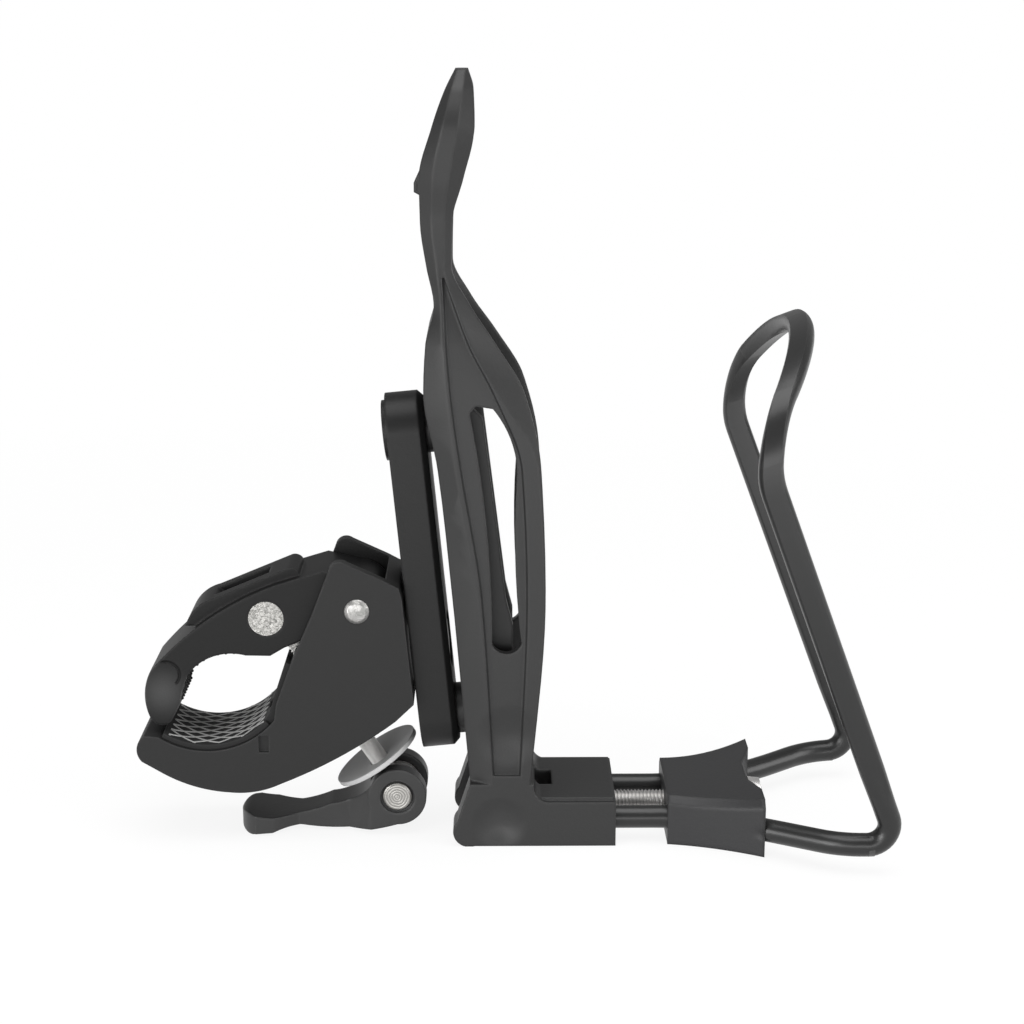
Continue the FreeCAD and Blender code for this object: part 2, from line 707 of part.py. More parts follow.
def cage_channel():
    """The open channel of the back, which turns into the hollow of the tongue."""
    wall = size("side_wall")
    rings = []
    for height, back, ridge, shoulder, front, half in STATIONS:
        share = up_tongue(height)
        web = size("web_wall") + (size("tongue_thick") - size("web_wall")) * share
        floor = min(back + web, front - 0.5)
        rear = (half - wall) * (1.0 - 0.45 * share)
        mouth = half - wall + (wall - size("tongue_bevel") - 0.9) * share
        mouth = max(mouth, 0.6)
        rings.append(level_ring(height, [(floor, rear), (front + 0.3, mouth)]))
    rings[0] = [corner + Vector(0, 0, 2.0) for corner in rings[0]]
    rings[-1] = [corner + Vector(0, 0, 0.3) for corner in rings[-1]]
    return skin(rings)


# Sunk panel on each side: height, rear edge and front edge
PANEL = ((-24.0, 61.8, 68.2), (16.0, 59.4, 69.7), (44.0, 55.1, 68.6), (60.0, 53.0, 62.8),
         (70.0, 52.2, 57.7), (80.0, 51.8, 53.9), (84.0, 51.7, 52.3))


def half_at(height):
    low = [station for station in STATIONS if station[0] <= height][-1]
    high = [station for station in STATIONS if station[0] > height][0]
    share = (height - low[0]) / (high[0] - low[0])
    return low[-1] + (high[-1] - low[-1]) * share


def side_panel(side_sign):
    rings = []
    for height, rear, front in PANEL:
        half = half_at(height)
        floor = half - size("panel_deep")
        slope = min(0.6, (front - rear) / 4)
        corners = [(rear, half + 0.2), (rear + slope, floor), (front - slope, floor), (front, half + 0.2)]
        rings.append([Vector(ahead, side_sign * across, height) for ahead, across in corners])
    return skin(rings)


def back_shell():
    half = size("cage_width") / 2
    shell = cage_outside().cut([cage_channel(), side_panel(-1), side_panel(1)])
    slot = outline(
        (61.9, 5.6), (61.3, 25.0, 57.3, 56.0), (58.6, 57.6), (62.2, 57.0), (66.2, 49.6, 67.2, 41.0),
        (66.9, 22.0, 68.2, 6.0), (65.4, 3.6, 61.9, 5.6))
    return shell.cut(slab(slot, half + 1))


def tongue_hook():
    hook = outline((46.0, 102.8), (46.0, 100.9), (47.6, 100.0), (50.0, 104.0), (51.4, 109.6), (48.2, 107.4))
    return slab(hook, 4.5)


def spine_ribs():
    near = size("rib_gap") / 2
    rib = outline(
        (57.0, -2.0), (66.4, 1.4), (66.4, 8.4), (64.9, 14.2), (60.0, 54.0), (56.0, 58.0), (51.0, 58.0))
    return [slab(rib, side_sign * near, side_sign * (near + size("rib_wall"))) for side_sign in (-1, 1)]


def foot():
    half = size("foot_width") / 2
    top = TABLE + size("foot_high")
    front = size("foot_front")
    side = outline(
        (57.0, -26.0), (54.2, -34.6), (53.9, -39.0, 58.0, TABLE), (front, TABLE), (front, top),
        (74.6, top), (71.9, -29.2, 70.9, -26.0))
    block = slab(side, half)
    plate = outline((72.0, top - 1), (front - 0.4, top - 1), (front - 0.4, top + size("plate_raise")),
                    (72.0, top + size("plate_raise")))
    block = block.fuse(slab(plate, half - 1.2))
    notch = outline((50.0, TABLE - 1), (57.6, TABLE - 1), (57.6, -20.0), (50.0, -20.0))
    return block.cut(slab(notch, 6.6))


def rod_height():
    return TABLE + size("rod_height")


def cage_back():
    cage = back_shell()
    cage = cage.fuse([tongue_hook(), foot()] + spine_ribs())
    for up in (UPPER_HOLE, LOWER_HOLE):
        pad = rod(5.6, size("seat_wall"), on_bar(size("bar_thick"), up), AHEAD)
        cage = cage.fuse(pad)
        well = rod(size("washer_dia") / 2 + 0.4, 40, on_bar(SEAT, up), AHEAD)
        cage = cage.cut(well)
        cage = cage.cut(rod(size("screw_dia") / 2 + 0.2, 40, on_bar(-10, up), AHEAD))
    level = rod_height()
    for side_sign in (-1, 1):
        bore = rod(size("wire_dia") / 2 + FIT, 60, Vector(57.6, side_sign * size("rod_spacing") / 2, level),
                   Vector(1, 0, 0))
        cage = cage.cut(bore)
    cage = cage.cut(rod(size("screw_dia") / 2 + 0.3, 60, Vector(50.0, 0, level), Vector(1, 0, 0)))
    window = slab(outline((71.2, level), (75.0, level), (75.0, -20.0), (71.2, -20.0)), 4.2)
    cage = cage.cut(window)
    trap = slab(outline((size("foot_nut_x") - 0.1, TABLE - 1), (size("foot_nut_x") + size("nut_high") + 0.1, TABLE - 1),
                        (size("foot_nut_x") + size("nut_high") + 0.1, level + 4.8),
                        (size("foot_nut_x") - 0.1, level + 4.8)), size("nut_flats") / 2 + 0.1)
    return cage.cut(trap).removeSplitter()


pieces.append(piece("cage_back", cage_back()))


# Screws, washers and nuts that hold the cage to the bar
def mount_screw(up):
    head_start = SEAT + size("washer_thick")
    head_radius = size("screw_head_dia") / 2
    high = size("screw_head")
    head = turned([(0, 0), (head_radius, 0), (head_radius, high * 0.55), (head_radius * 0.6, high), (0, high)],
                  on_bar(head_start, up), AHEAD)
    shank = rod(size("screw_dia") / 2, head_start - 0.2, on_bar(0.2, up), AHEAD)
    socket = hexagon(3.0, 3.0, on_bar(head_start + high - 1.8, up), AHEAD)
    return head.fuse(shank).removeSplitter().cut(socket)


def mount_washer(up):
    ring = rod(size("washer_dia") / 2, size("washer_thick"), on_bar(SEAT, up), AHEAD)
    return ring.cut(rod(size("screw_dia") / 2 + 0.15, 30, on_bar(0, up), AHEAD))


def mount_nut(up):
    nut = hexagon(size("nut_flats"), size("nut_high"), on_bar(0, up), AHEAD)
    return nut.cut(rod(size("screw_dia") / 2, 30, on_bar(-5, up), AHEAD))


for tag, up in (("upper", UPPER_HOLE), ("lower", LOWER_HOLE)):
    pieces.append(piece(tag + "_mount_screw", mount_screw(up)))
    pieces.append(piece(tag + "_mount_washer", mount_washer(up)))
    pieces.append(piece(tag + "_mount_nut", mount_nut(up)))


# Wire bail: one bent rod with a flattened outer side
FLAT_START = 10.0
FLAT_RUN = 8.0


def leg_points(side_sign):
    """Corner points of one leg of the bail, from the foot to the bend under the upright."""
    level = rod_height()
    rod_side = side_sign * size("rod_spacing") / 2
    wide = side_sign * size("corner_half")
    return [Vector(size("rod_start"), rod_side, level), Vector(106.0, rod_side, level),
            Vector(121.5, side_sign * 17.0, level), Vector(136.5, wide, level + 0.9),
            Vector(size("corner_x"), wide, level + 1.4)]


def shoulder_point(side_sign):
    return Vector(size("shoulder_x"), side_sign * size("crown_half"), size("shoulder_z"))


def leg_path(side_sign):
    points = leg_points(side_sign)
    bend = points[-1]
    upward = (shoulder_point(side_sign) - bend).normalize()
    return rounded_path(points + [bend + upward * (FLAT_START + 1e-3)], [9.0, 8.0, 6.0, 6.4])


def loop_path():
    """The flattened part of the bail, up one side, over the crown and down the other."""
    ends = []
    for side_sign in (-1, 1):
        bend = leg_points(side_sign)[-1]
        upward = (shoulder_point(side_sign) - bend).normalize()
        ends.append(bend + upward * (FLAT_START + FLAT_RUN))
    crown = size("crown_half")
    top = size("crown_z")
    lean = Vector(size("shoulder_x") + 0.5, 0, top - 15.2)
    over = [Vector(lean.x, -crown, lean.z), Vector(size("crown_x"), -crown / 2, top),
            Vector(size("crown_x"), crown / 2, top), Vector(lean.x, crown, lean.z)]
    points = [ends[0], shoulder_point(-1)] + over + [shoulder_point(1), ends[1]]
    side = (over[1] - over[0]).Length
    reach = side - crown / 2
    rest = (over[0] - shoulder_point(-1)).Length - reach - 0.01
    return rounded_path(points, [rest, reach, crown / 2 - 0.01, crown / 2 - 0.01, reach, rest])


def loop_facing():
    """The direction square to the loop's mean plane."""
    rise = (shoulder_point(-1) - leg_points(-1)[-1]).normalize()
    return Vector(rise.z, 0, -rise.x).normalize()


def rod_section(centre, tangent, flat):
    """Section of the rod: four arcs when round, two of them pressed to lines when flat."""
    side = loop_facing()
    side = (side - tangent * side.dot(tangent)).normalize()
    out = tangent.cross(side)
    if flat:
        reach, face, thick = size("flat_wide") / 2, size("flat_face") / 2, size("flat_thick") / 2
        corner, bulge = (face, thick), thick + 0.02
    else:
        reach = size("wire_dia") / 2
        corner, bulge = (reach * math.cos(0.65), reach * math.sin(0.65)), reach
    spots = [centre + side * a + out * b for a, b in (
        (corner[0], corner[1]), (0, bulge), (-corner[0], corner[1]), (-reach, 0),
        (-corner[0], -corner[1]), (0, -bulge), (corner[0], -corner[1]), (reach, 0))]
    return Part.Wire([Part.Arc(spots[i], spots[i + 1], spots[(i + 2) % 8]).toShape() for i in (0, 2, 4, 6)])


def wire_bail():
    path = loop_path()
    start = path.Edges[0]
    tangent = start.tangentAt(start.FirstParameter)
    sweep = Part.BRepOffsetAPI.MakePipeShell(path)
    sweep.setBiNormalMode(loop_facing())
    sweep.add(rod_section(start.valueAt(start.FirstParameter), tangent, True), False, False)
    sweep.build()
    sweep.makeSolid()
    bail = sweep.shape()
    for side_sign in (-1, 1):
        bail = bail.fuse(round_bar(leg_path(side_sign), size("wire_dia") / 2))
        bend = leg_points(side_sign)[-1]
        upward = (shoulder_point(side_sign) - bend).normalize()
        pressed = Part.makeLoft([rod_section(bend + upward * FLAT_START, upward, False),
                                 rod_section(bend + upward * (FLAT_START + FLAT_RUN + 1e-3), upward, True)],
                                True, True)
        bail = bail.fuse(pressed)
    return bail.removeSplitter()


pieces.append(piece("wire_bail", wire_bail()))


# Collar that joins the two legs of the bail and carries the adjuster screw
def collar():
    back = size("collar_back")
    front = size("collar_front")
    sections = []
    for place, wide, high in ((back, size("collar_back_width") / 2, size("collar_back_high")),
                              (front, size("collar_front_width") / 2, size("collar_front_high"))):
        sections.append(Part.makePolygon([
            Vector(place, -wide, TABLE), Vector(place, wide, TABLE), Vector(place, wide, TABLE + high - 1.6),
            Vector(place, wide - 1.6, TABLE + high), Vector(place, -wide + 1.6, TABLE + high),
            Vector(place, -wide, TABLE + high - 1.6), Vector(place, -wide, TABLE)]))
    block = Part.makeLoft(sections, True, True)
    level = rod_height()
    bore = rod(size("screw_dia") / 2 + FIT, 60, Vector(90.0, 0, level), Vector(1, 0, 0))
    notch = Part.Face(Part.makePolygon([
        Vector(front + 1, -10.5, TABLE - 1), Vector(front - 2.4, -5.4, TABLE - 1), Vector(front - 2.4, 5.4, TABLE - 1),
        Vector(front + 1, 10.5, TABLE - 1), Vector(front + 1, -10.5, TABLE - 1)])).extrude(Vector(0, 0, 40))
    block = block.cut(notch)
    block = block.cut(bore)
    for side_sign in (-1, 1):
        block = block.cut(round_bar(leg_path(side_sign), size("wire_dia") / 2))
    return block


pieces.append(piece("collar", collar()))


# Adjuster screw and the nut trapped in the foot
def adjuster_screw():
    level = rod_height()
    seat = size("collar_front") - 2.4
    head = size("screw_head_dia") / 2
    ahead = Vector(1, 0, 0)
    shank = rod(size("screw_dia") / 2, seat - size("adjuster_tip"), Vector(size("adjuster_tip"), 0, level), ahead)
    cap = turned([(0, 0), (head, 0), (head, 3.0), (head - 0.6, 3.8), (0, 3.8)], Vector(seat, 0, level), ahead)
    socket = hexagon(4.0, 4.0, Vector(seat + 1.4, 0, level), ahead)
    return cap.fuse(shank).removeSplitter().cut(socket)


def foot_nut():
    level = rod_height()
    ahead = Vector(1, 0, 0)
    nut = hexagon(size("nut_flats"), size("nut_high"), Vector(size("foot_nut_x"), 0, level), ahead, 0)
    return nut.cut(rod(size("screw_dia") / 2 + FIT, 20, Vector(size("foot_nut_x") - 5, 0, level), ahead))


pieces.append(piece("adjuster_screw", adjuster_screw()))
pieces.append(piece("foot_nut", foot_nut()))

doc.recompute()
faults = [item.Label for item in doc.Objects if "Invalid" in item.State or "Error" in item.State]
for part in pieces:
    shape = part.Shape
    if shape.isNull() or not shape.isValid() or shape.Volume <= 0:
        faults.append(part.Label)
if faults:
    raise RuntimeError("not sound: " + ", ".join(faults))

os.makedirs("parts", exist_ok=True)
for part in pieces:
    part.Shape.exportStep(os.path.join("parts", part.Label + ".step"))
    box = part.Shape.BoundBox
    print(f"{part.Label:22s} solids {len(part.Shape.Solids)} volume {part.Shape.Volume:9.1f} "
          f"x {box.XMin:7.1f} {box.XMax:7.1f} y {box.YMin:6.1f} {box.YMax:6.1f} z {box.ZMin:6.1f} {box.ZMax:6.1f}")
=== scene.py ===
# %% [markdown]
# # A bottle cage with a wire bail and a tube clamp
#
# The solids come ready made and stay where they are. This lesson gives them their finishes, rounds their
# edges as a mould does, and adds what is too fine for the solids: threads, the mesh and the nubs on the
# rubber pads, the flare of the collar and the machined faces of the pins.

# %% Load the frame
import math
import bmesh
import bpy
from mathutils import Matrix, Vector


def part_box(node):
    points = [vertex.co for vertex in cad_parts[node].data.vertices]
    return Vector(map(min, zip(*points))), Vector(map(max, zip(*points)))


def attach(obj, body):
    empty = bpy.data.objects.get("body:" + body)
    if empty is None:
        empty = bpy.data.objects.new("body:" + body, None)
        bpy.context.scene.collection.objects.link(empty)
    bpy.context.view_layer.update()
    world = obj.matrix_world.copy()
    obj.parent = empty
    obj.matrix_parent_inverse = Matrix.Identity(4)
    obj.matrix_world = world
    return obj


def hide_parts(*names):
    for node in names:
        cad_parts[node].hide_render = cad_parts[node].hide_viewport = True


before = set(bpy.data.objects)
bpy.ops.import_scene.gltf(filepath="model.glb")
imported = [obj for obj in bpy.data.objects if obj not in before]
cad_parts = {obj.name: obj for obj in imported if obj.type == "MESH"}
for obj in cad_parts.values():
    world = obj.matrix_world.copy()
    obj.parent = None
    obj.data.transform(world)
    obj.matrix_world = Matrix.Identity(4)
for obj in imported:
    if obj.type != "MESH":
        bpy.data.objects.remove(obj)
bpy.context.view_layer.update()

MM = 0.001
TABLE_HEIGHT = -0.0403
FOOT_DIP = (0.0635, -0.0100, -0.0352)
BODY_DIP = (0.0653, -0.0060, -0.0150)
FINGER_RING = (-0.0086, -0.0070, -0.0022)
FINGER_PAINTED_LIGHT = (-0.0095, -0.0070, -0.0062)

# %% [markdown]
# ## Finishes
#
# Every finish is procedural and reads Object coordinates, so it sticks to its piece. Three effects come
# back: the fine grain of a textured mould, the polish that handling leaves along edges, and round marks,
# sunk into a face or only painted, with painted shade or painted light in their colour. Each is a node group
# with named inputs, built once.

# %% Helpers for node trees
def link(tree, source, target):
    tree.links.new(source, target)


def add_node(tree, kind, place=(0, 0), **settings):
    node = tree.nodes.new(kind)
    node.location = place
    for key, value in settings.items():
        if hasattr(node, key):
            setattr(node, key, value)
        else:
            node.inputs[key].default_value = value
    return node


def group_tree(name, inputs, outputs):
    tree = bpy.data.node_groups.new(name, "ShaderNodeTree")
    for label, kind, value in inputs:
        socket = tree.interface.new_socket(label, in_out="INPUT", socket_type=kind)
        socket.default_value = value
    for label, kind in outputs:
        tree.interface.new_socket(label, in_out="OUTPUT", socket_type=kind)
    return tree, tree.nodes.new("NodeGroupInput"), tree.nodes.new("NodeGroupOutput")


def math_node(tree, operation, first, second, clamp=False):
    node = tree.nodes.new("ShaderNodeMath")
    node.operation = operation
    node.use_clamp = clamp
    for index, value in enumerate((first, second)):
        if hasattr(value, "links"):
            link(tree, value, node.inputs[index])
        else:
            node.inputs[index].default_value = value
    return node.outputs[0]


def mix_colour(tree, factor, first, second):
    node = tree.nodes.new("ShaderNodeMix")
    node.data_type = "RGBA"
    for socket, value in ((node.inputs[0], factor), (node.inputs[6], first), (node.inputs[7], second)):
        if hasattr(value, "links"):
            link(tree, value, socket)
        else:
            socket.default_value = value
    return node.outputs[2]


# %% Group: mould grain
def make_grain_group():
    tree, source, result = group_tree(
        "mould_grain",
        [("Colour", "NodeSocketColor", (0.05, 0.05, 0.05, 1)), ("Grain Size", "NodeSocketFloat", 900.0),
         ("Tone Change", "NodeSocketFloat", 0.18), ("Roughness", "NodeSocketFloat", 0.5),
         ("Roughness Change", "NodeSocketFloat", 0.1)],
        [("Colour", "NodeSocketColor"), ("Roughness", "NodeSocketFloat"), ("Height", "NodeSocketFloat")])
    place = tree.nodes.new("ShaderNodeTexCoord").outputs["Object"]
    grain = add_node(tree, "ShaderNodeTexNoise", Detail=3.0, Roughness=0.6)
    broad = add_node(tree, "ShaderNodeTexNoise", Scale=38.0, Detail=4.0, Roughness=0.55)
    link(tree, place, grain.inputs["Vector"])
    link(tree, place, broad.inputs["Vector"])
    link(tree, source.outputs["Grain Size"], grain.inputs["Scale"])
    swing = math_node(tree, "SUBTRACT", broad.outputs["Fac"], 0.5)
    tone = math_node(tree, "MULTIPLY", swing, source.outputs["Tone Change"])
    speck = math_node(tree, "MULTIPLY", math_node(tree, "SUBTRACT", grain.outputs["Fac"], 0.5), 0.5)
    factor = math_node(tree, "ADD", math_node(tree, "ADD", tone, math_node(
        tree, "MULTIPLY", speck, source.outputs["Tone Change"])), 1.0)
    scaled = tree.nodes.new("ShaderNodeVectorMath")
    scaled.operation = "SCALE"
    link(tree, source.outputs["Colour"], scaled.inputs[0])
    link(tree, factor, scaled.inputs["Scale"])
    link(tree, scaled.outputs[0], result.inputs["Colour"])
    shift = math_node(tree, "MULTIPLY", swing, source.outputs["Roughness Change"])
    rough = math_node(tree, "ADD", source.outputs["Roughness"], shift, clamp=True)
    link(tree, rough, result.inputs["Roughness"])
    link(tree, grain.outputs["Fac"], result.inputs["Height"])
    return tree


mould_grain = make_grain_group()
print("group", mould_grain.name)


# %% Group: polished edges
def make_edge_group():
    tree, source, result = group_tree(
        "polished_edge",
        [("Colour", "NodeSocketColor", (0.05, 0.05, 0.05, 1)),
         ("Edge Colour", "NodeSocketColor", (0.1, 0.1, 0.1, 1)), ("Amount", "NodeSocketFloat", 0.5)],
        [("Colour", "NodeSocketColor"), ("Mask", "NodeSocketFloat")])
    rounded = add_node(tree, "ShaderNodeBevel", samples=4, Radius=0.0006)
    flat = tree.nodes.new("ShaderNodeNewGeometry")
    turn = tree.nodes.new("ShaderNodeVectorMath")
    turn.operation = "DOT_PRODUCT"
    link(tree, rounded.outputs[0], turn.inputs[0])
    link(tree, flat.outputs["True Normal"], turn.inputs[1])
    sharp = math_node(tree, "SUBTRACT", 1.0, turn.outputs["Value"], clamp=True)
    patch = add_node(tree, "ShaderNodeTexNoise", Scale=260.0, Detail=4.0)
    link(tree, tree.nodes.new("ShaderNodeTexCoord").outputs["Object"], patch.inputs["Vector"])
    worn = math_node(tree, "MULTIPLY", math_node(tree, "MULTIPLY", sharp, 5.0), patch.outputs["Fac"])
    mask = math_node(tree, "MULTIPLY", worn, source.outputs["Amount"], clamp=True)
    link(tree, mix_colour(tree, mask, source.outputs["Colour"], source.outputs["Edge Colour"]),
         result.inputs["Colour"])
    link(tree, mask, result.inputs["Mask"])
    return tree


polished_edge = make_edge_group()
print("group", polished_edge.name)


# %% Group: round marks
def make_mark_group():
    """A ring-shaped groove, or a dish when its radius is nought, seen along Y on the near side."""
    tree, source, result = group_tree(
        "round_mark",
        [("Centre", "NodeSocketVector", (0, 0, 0)), ("Facing", "NodeSocketVector", (1, 0, 0)),
         ("Radius", "NodeSocketFloat", 0.003), ("Width", "NodeSocketFloat", 0.0004),
         ("From", "NodeSocketFloat", -1.0)],
        [("Mask", "NodeSocketFloat")])
    place = tree.nodes.new("ShaderNodeTexCoord").outputs["Object"]
    away = add_node(tree, "ShaderNodeVectorMath", operation="SUBTRACT")
    link(tree, place, away.inputs[0])
    link(tree, source.outputs["Centre"], away.inputs[1])
    level = add_node(tree, "ShaderNodeVectorMath", operation="MULTIPLY")
    level.inputs[1].default_value = (1, 0, 1)
    link(tree, away.outputs[0], level.inputs[0])
    reach = add_node(tree, "ShaderNodeVectorMath", operation="LENGTH")
    link(tree, level.outputs[0], reach.inputs[0])
    off = math_node(tree, "SUBTRACT", reach.outputs["Value"], source.outputs["Radius"])
    off = math_node(tree, "ABSOLUTE", off, 0.0)
    share = math_node(tree, "DIVIDE", off, source.outputs["Width"])
    near = math_node(tree, "SUBTRACT", 1.0, share, clamp=True)
    soft = add_node(tree, "ShaderNodeMapRange", interpolation_type="SMOOTHSTEP")
    link(tree, near, soft.inputs["Value"])
    along = add_node(tree, "ShaderNodeVectorMath", operation="DOT_PRODUCT")
    link(tree, level.outputs[0], along.inputs[0])
    link(tree, source.outputs["Facing"], along.inputs[1])
    arc = math_node(tree, "MULTIPLY", math_node(
        tree, "SUBTRACT", along.outputs["Value"], source.outputs["From"]), 2000.0, clamp=True)
    depth = tree.nodes.new("ShaderNodeSeparateXYZ")
    link(tree, away.outputs[0], depth.inputs[0])
    side = math_node(tree, "LESS_THAN", depth.outputs["Y"], 0.0)
    mask = math_node(tree, "MULTIPLY", math_node(tree, "MULTIPLY", soft.outputs["Result"], arc), side)
    link(tree, mask, result.inputs["Mask"])
    return tree


round_mark = make_mark_group()
print("group", round_mark.name)


# %% [markdown]
# The cage, bar, clamp and collar are glass-filled nylon from a spark-eroded mould: dark grey rather than
# black, matt, with a fine even grain. One function makes that family; the bar and the jaw get a darker base
# colour than the cage, which is painted shade. The rod is smoother and the rubber is duller. A second
# function sinks a round mark into a finish and scales its colour: the crescent on the jaw's finger is
# darkened as painted shade, the soft dips in the foot and in the back are lightened as painted light, and a
# mark with no depth paints a lighter disc on the finger's tip as painted light.

# %% Dark finishes
def grained_finish(name, colour, edge_colour, grain_size, roughness, bump, edge_amount, gleam, round_edge):
    material = bpy.data.materials.new(name)
    material.use_nodes = True
    tree = material.node_tree
    shader = tree.nodes["Principled BSDF"]
    grain = tree.nodes.new("ShaderNodeGroup")
    grain.node_tree = mould_grain
    grain.inputs["Colour"].default_value = (*colour, 1)
    grain.inputs["Grain Size"].default_value = grain_size
    grain.inputs["Roughness"].default_value = roughness
    edge = tree.nodes.new("ShaderNodeGroup")
    edge.node_tree = polished_edge
    edge.inputs["Edge Colour"].default_value = (*edge_colour, 1)
    edge.inputs["Amount"].default_value = edge_amount
    link(tree, grain.outputs["Colour"], edge.inputs["Colour"])
    link(tree, edge.outputs["Colour"], shader.inputs["Base Color"])
    link(tree, grain.outputs["Roughness"], shader.inputs["Roughness"])
    raised = add_node(tree, "ShaderNodeBump", Strength=bump, Distance=0.00008)
    link(tree, grain.outputs["Height"], raised.inputs["Height"])
    if round_edge:
        rounded = add_node(tree, "ShaderNodeBevel", samples=6, Radius=round_edge)
        link(tree, rounded.outputs["Normal"], raised.inputs["Normal"])
    link(tree, raised.outputs["Normal"], shader.inputs["Normal"])
    shader.inputs["Specular IOR Level"].default_value = gleam
    material.diffuse_color = (*colour, 1)
    return material


def mark(material, centre, radius, width, depth, shade, facing=(1, 0, 0), start=-1.0):
    """Sink a round mark into a finish, and scale its colour by the shade factor: painted shade below one,
    painted light above one.
    """
    tree = material.node_tree
    shader = tree.nodes["Principled BSDF"]
    spot = tree.nodes.new("ShaderNodeGroup")
    spot.node_tree = round_mark
    for label, value in (("Centre", centre), ("Facing", facing)):
        spot.inputs[label].default_value = value
    for label, value in (("Radius", radius), ("Width", width), ("From", start)):
        spot.inputs[label].default_value = value
    normal = shader.inputs["Normal"].links[0].from_socket
    colour = shader.inputs["Base Color"].links[0].from_socket
    sunk = add_node(tree, "ShaderNodeBump", Strength=1.0, Distance=depth, invert=True)
    link(tree, spot.outputs["Mask"], sunk.inputs["Height"])
    link(tree, normal, sunk.inputs["Normal"])
    link(tree, sunk.outputs["Normal"], shader.inputs["Normal"])
    # The mask scales the base colour: painted shade where the factor is below one, painted light where it is
    # above one.
    painted_light_tint = add_node(tree, "ShaderNodeVectorMath", operation="SCALE")
    link(tree, colour, painted_light_tint.inputs[0])
    change = math_node(tree, "MULTIPLY", spot.outputs["Mask"], shade - 1.0)
    link(tree, math_node(tree, "ADD", change, 1.0), painted_light_tint.inputs["Scale"])
    link(tree, painted_light_tint.outputs[0], shader.inputs["Base Color"])


moulded_nylon = grained_finish(
    "moulded_nylon", (0.013, 0.013, 0.013), (0.05, 0.05, 0.05), 1500.0, 0.48, 0.35, 0.5, 0.40, 0.0008)
collar_nylon = grained_finish(
    "collar_nylon", (0.016, 0.016, 0.017), (0.05, 0.05, 0.05), 1500.0, 0.46, 0.35, 0.5, 0.42, 0.0012)
clamp_nylon = grained_finish(
    "clamp_nylon", (0.010, 0.010, 0.010), (0.05, 0.05, 0.05), 1800.0, 0.54, 0.30, 0.6, 0.27, 0.0005)
# The bar is the same nylon; its darker base colour is painted shade.
bar_nylon = grained_finish(
    "bar_nylon", (0.007, 0.007, 0.007), (0.04, 0.04, 0.04), 1800.0, 0.42, 0.30, 0.6, 0.25, 0.0008)
# The jaw is the same nylon; its darker base colour is painted shade.
jaw_nylon = grained_finish(
    "jaw_nylon", (0.006, 0.006, 0.006), (0.05, 0.05, 0.05), 1800.0, 0.48, 0.30, 0.6, 0.20, 0.0008)
cast_black = grained_finish(
    "cast_black", (0.020, 0.020, 0.020), (0.07, 0.07, 0.07), 1100.0, 0.42, 0.30, 0.7, 0.40, 0.0008)
coated_rod = grained_finish(
    "coated_rod", (0.010, 0.010, 0.010), (0.05, 0.05, 0.05), 900.0, 0.32, 0.12, 0.3, 0.45, 0.0)
pad_rubber = grained_finish(
    "pad_rubber", (0.009, 0.009, 0.009), (0.03, 0.03, 0.03), 700.0, 0.70, 0.30, 0.4, 0.30, 0.0004)
mesh_rubber = grained_finish(
    "mesh_rubber", (0.26, 0.26, 0.255), (0.30, 0.30, 0.30), 700.0, 0.45, 0.20, 0.4, 0.4, 0.0001)
dull_zinc = grained_finish(
    "dull_zinc", (0.36, 0.36, 0.36), (0.30, 0.30, 0.30), 900.0, 0.50, 0.20, 0.6, 0.6, 0.0004)
# The crescent groove on the finger is sunk and darkened; the darkening is painted shade.
mark(jaw_nylon, FINGER_RING, 0.0029, 0.00045, 0.0005, 0.35, (0.857, 0, 0.514), 0.0004)
# The finger's tip gets no depth, only a lighter disc: painted light.
mark(jaw_nylon, FINGER_PAINTED_LIGHT, 0.0, 0.0072, 0.0, 6.0)
# The dips in the foot and in the back are sunk and lightened; the lightening is painted light.
mark(moulded_nylon, FOOT_DIP, 0.0, 0.0065, 0.0016, 1.8)
mark(moulded_nylon, BODY_DIP, 0.0, 0.0075, 0.0012, 1.2)
print("dark finishes ready")


# %% [markdown]
# Pins, bolt and screws are steel. A turned face shows fine rings round its axis, so the ring pattern is a
# Wave texture in rings, with a Mapping node that puts its centre on the pin. Cut and pressed ends have a
# coarser grain of bright and dull flecks.

